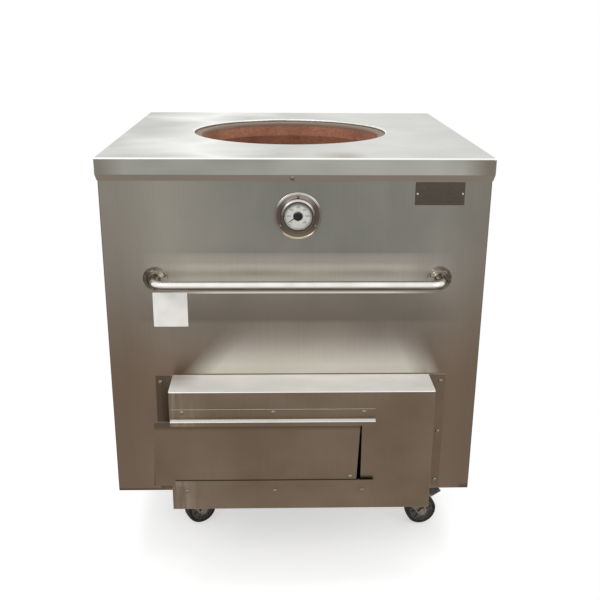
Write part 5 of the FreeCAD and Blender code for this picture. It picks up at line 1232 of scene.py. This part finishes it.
def make_wheels():
    """A rubber tyre with two grooves round its tread, on a moulded hub with ribs from barrel to rim."""
    tree = bar_tree()
    near = [(RIM_RADIUS, WHEEL_HALF - 0.8)]
    near += arc((RIM_RADIUS + 1.0, WHEEL_HALF - 1.0), 1.0, 180, 90, 3)[1:]
    near += arc((WHEEL_RADIUS - 4.4, WHEEL_HALF - TREAD_ROUND), TREAD_ROUND, 90, 15, 5)
    near += [(WHEEL_RADIUS - 0.25, 7.0), (WHEEL_RADIUS - 0.1, 5.4), (WHEEL_RADIUS - 1.0, 4.9),
             (WHEEL_RADIUS - 1.0, 4.1), (WHEEL_RADIUS, 3.6)]
    tyre = [(x, -y) for x, y in near] + near[::-1]
    near = [(AXLE_BORE, HUB_HALF), (HUB_END_RADIUS - HUB_END_BEVEL, HUB_HALF),
            (HUB_END_RADIUS, HUB_HALF - HUB_END_BEVEL), (HUB_END_RADIUS + 1.0, WEB_HALF),
            (RIM_RADIUS - 3.4, WEB_HALF), (RIM_RADIUS - 2.4, WHEEL_HALF - RIM_SETBACK),
            (RIM_RADIUS, WHEEL_HALF - RIM_SETBACK)]
    hub = [(x, -y) for x, y in near] + near[::-1]
    rib = (RIB_WIDTH, RIB_DEPTH, RIM_RADIUS - HUB_END_RADIUS - 2.0)
    angles = range(0, 360, 360 // WHEEL_RIBS)
    for joint in frame["joints"]:
        if not joint["child"].startswith("wheel_"):
            continue
        name, centre, axis = joint["child"], Vector(joint["pos_m"]), Vector(joint["axis"]).normalized()
        add_piece(name + "_tyre", turned_mesh(tyre, centre, axis, 72, True), "wheel_rubber", name, [name])
        shape = bmesh.new()
        turned(shape, hub, centre, axis, 72, True)
        for side in (-1, 1):
            add_bars(shape, tree, centre, axis, angles, (RIM_RADIUS + HUB_END_RADIUS) / 2 - 0.6,
                     side * (WEB_HALF + 1.2), rib, "wheel_hub")
        add_piece(name + "_hub", finished(shape), "wheel_hub", name, [name])


# ---- control plate ----

KNOB_SCALE_RADIUS = 23.5
KNOB_TICKS = 11
KNOB_SWEEP = 270
KNOB_TICK = (0.7, 0.2, 3.0)
POINTER_WIDTH = 1.0


def print_knob_scale():
    """Plain ticks round the knob on the control plate, and a pointer line on the knob's grip bar."""
    low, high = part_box("thermostat_knob")
    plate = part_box("control_plate")[0].y
    centre = Vector(((low.x + high.x) / 2, plate, (low.z + high.z) / 2))
    shape = bmesh.new()
    ticks = [KNOB_SWEEP / 2 - KNOB_SWEEP * i / (KNOB_TICKS - 1) + 90 for i in range(KNOB_TICKS)]
    add_bars(shape, bar_tree(), centre, FRONT, ticks, KNOB_SCALE_RADIUS, 0.06, KNOB_TICK, "dial_print")
    add_piece("knob_scale", finished(shape), "dial_print")
    half = POINTER_WIDTH / 2 * MM
    low_corner = Vector((centre.x - half, low.y - 0.15 * MM, high.z - 11 * MM))
    high_corner = Vector((centre.x + half, low.y + 0.4 * MM, high.z - 4.4 * MM))
    add_piece("knob_pointer", rounded_plate(low_corner, high_corner, 0.3 * MM, 0.05 * MM), "dial_enamel",
              "knob")


fit_fasteners()
make_towel_bar()
make_gauge()
make_plates()
make_wheels()
print_knob_scale()


# ---- camera, light and floor ----

IMAGE_SIDE = 600
FOCAL_PIXELS = 840.0
SENSOR_WIDTH = 36.0
CAMERA_PLACE = Vector((-0.0413, -2.0419, 1.2136))
CAMERA_PITCH = math.radians(18.82)
CAMERA_YAW = math.radians(-1.72)
CAMERA_ROLL = math.radians(0.44)
FLOOR_SIDE = 60.0
FLOOR_GLOW = 0.52
FLOOR_FADE = (0.50, 0.82)
DAYLIGHT = 0.62
LAMP_AIM = Vector((0.0, 0.0, 0.55))
LAMPS = (("key", Vector((-1.9, -2.6, 2.7)), 1.6, 1.2, 4.0, True),
         ("fill", Vector((2.4, -2.2, 1.9)), 1.8, 1.8, 1.4, True),
         ("overhead", Vector((0.0, 0.4, 3.2)), 2.4, 2.0, 3.4, False))


def place_camera():
    """In front of the tandoor, a little above its top, looking down."""
    data = bpy.data.cameras.new("camera")
    data.lens = FOCAL_PIXELS / IMAGE_SIDE * SENSOR_WIDTH
    data.sensor_width = SENSOR_WIDTH
    data.clip_end = 2 * FLOOR_SIDE
    camera = put_in_scene("camera", data)
    right = Vector((math.cos(CAMERA_YAW), math.sin(CAMERA_YAW), 0))
    ahead = Vector((-math.sin(CAMERA_YAW), math.cos(CAMERA_YAW), 0))
    view = ahead * math.cos(CAMERA_PITCH) - Z * math.sin(CAMERA_PITCH)
    up = ahead * math.sin(CAMERA_PITCH) + Z * math.cos(CAMERA_PITCH)
    rolled_right = right * math.cos(CAMERA_ROLL) + up * math.sin(CAMERA_ROLL)
    rolled_up = up * math.cos(CAMERA_ROLL) - right * math.sin(CAMERA_ROLL)
    turn = Matrix((rolled_right, rolled_up, -view)).transposed().to_4x4()
    camera.matrix_world = Matrix.Translation(CAMERA_PLACE) @ turn
    bpy.context.scene.camera = camera


def place_lamps():
    """Soft rectangular lamps that look at the middle of the tandoor. level is the brightness of a lamp's
    face, where 1 is white paper's."""
    for name, place, width, height, level, mirrored in LAMPS:
        data = bpy.data.lights.new(name, "AREA")
        data.shape = "RECTANGLE"
        data.size = width
        data.size_y = height
        data.energy = level * width * height * math.pi
        lamp = put_in_scene(name, data)
        lamp.location = place
        lamp.rotation_euler = (LAMP_AIM - place).to_track_quat("-Z", "Y").to_euler()
        lamp.visible_camera = False
        lamp.visible_glossy = mirrored


def mixed_shaders(nodes, amount, first, second):
    return nodes.add("ShaderNodeMixShader", {0: amount, 1: first, 2: second}).outputs[0]


def plain_white(nodes, kind, strength):
    return nodes.add(kind, {"Color": "#FFFFFF", "Strength": strength}).outputs[0]


def seen_rays(nodes):
    """1 for a camera, mirror or see-through ray, which meets the background, and 0 for the light itself."""
    path = nodes.add("ShaderNodeLightPath").outputs
    seen = nodes.math_of("MAXIMUM", path["Is Camera Ray"], path["Is Glossy Ray"])
    return nodes.math_of("MAXIMUM", seen, path["Is Transmission Ray"])


def light_world():
    """Soft daylight from all around, in front of a white background."""
    world = bpy.data.worlds.new("studio")
    nodes = Nodes(cleared_tree(world))
    soft, white = [plain_white(nodes, "ShaderNodeBackground", strength) for strength in (DAYLIGHT, 1.0)]
    nodes.add("ShaderNodeOutputWorld", {"Surface": mixed_shaders(nodes, seen_rays(nodes), soft, white)})
    bpy.context.scene.world = world


def lay_floor():
    """A pale seamless floor that keeps the contact shadow, turns white further out, and isn't there when
    looked at from below."""
    half = FLOOR_SIDE / 2
    mesh = bpy.data.meshes.new("floor")
    corners = [(-half, -half, 0), (half, -half, 0), (half, half, 0), (-half, half, 0)]
    mesh.from_pydata(corners, [], [(0, 1, 2, 3)])
    floor = put_in_scene("floor", mesh)
    material = bpy.data.materials.new("seamless_paper")
    nodes = Nodes(cleared_tree(material))
    paper = nodes.add("ShaderNodeBsdfDiffuse", {"Color": "#E6E6E6"}).outputs[0]
    glow, white = [plain_white(nodes, "ShaderNodeEmission", strength) for strength in (FLOOR_GLOW, 1.0)]
    lit = nodes.add("ShaderNodeAddShader", {0: paper, 1: glow}).outputs[0]
    away = nodes.length_of(nodes.own_place())
    seen = mixed_shaders(nodes, nodes.rising(away, *FLOOR_FADE), lit, white)
    top = mixed_shaders(nodes, seen_rays(nodes), paper, seen)
    below = nodes.add("ShaderNodeBsdfTransparent").outputs[0]
    back = nodes.add("ShaderNodeNewGeometry").outputs["Backfacing"]
    nodes.add("ShaderNodeOutputMaterial", {"Surface": mixed_shaders(nodes, back, top, below)})
    mesh.materials.append(material)


place_camera()
light_world()
place_lamps()
lay_floor()
bpy.context.scene.view_settings.view_transform = "Standard"
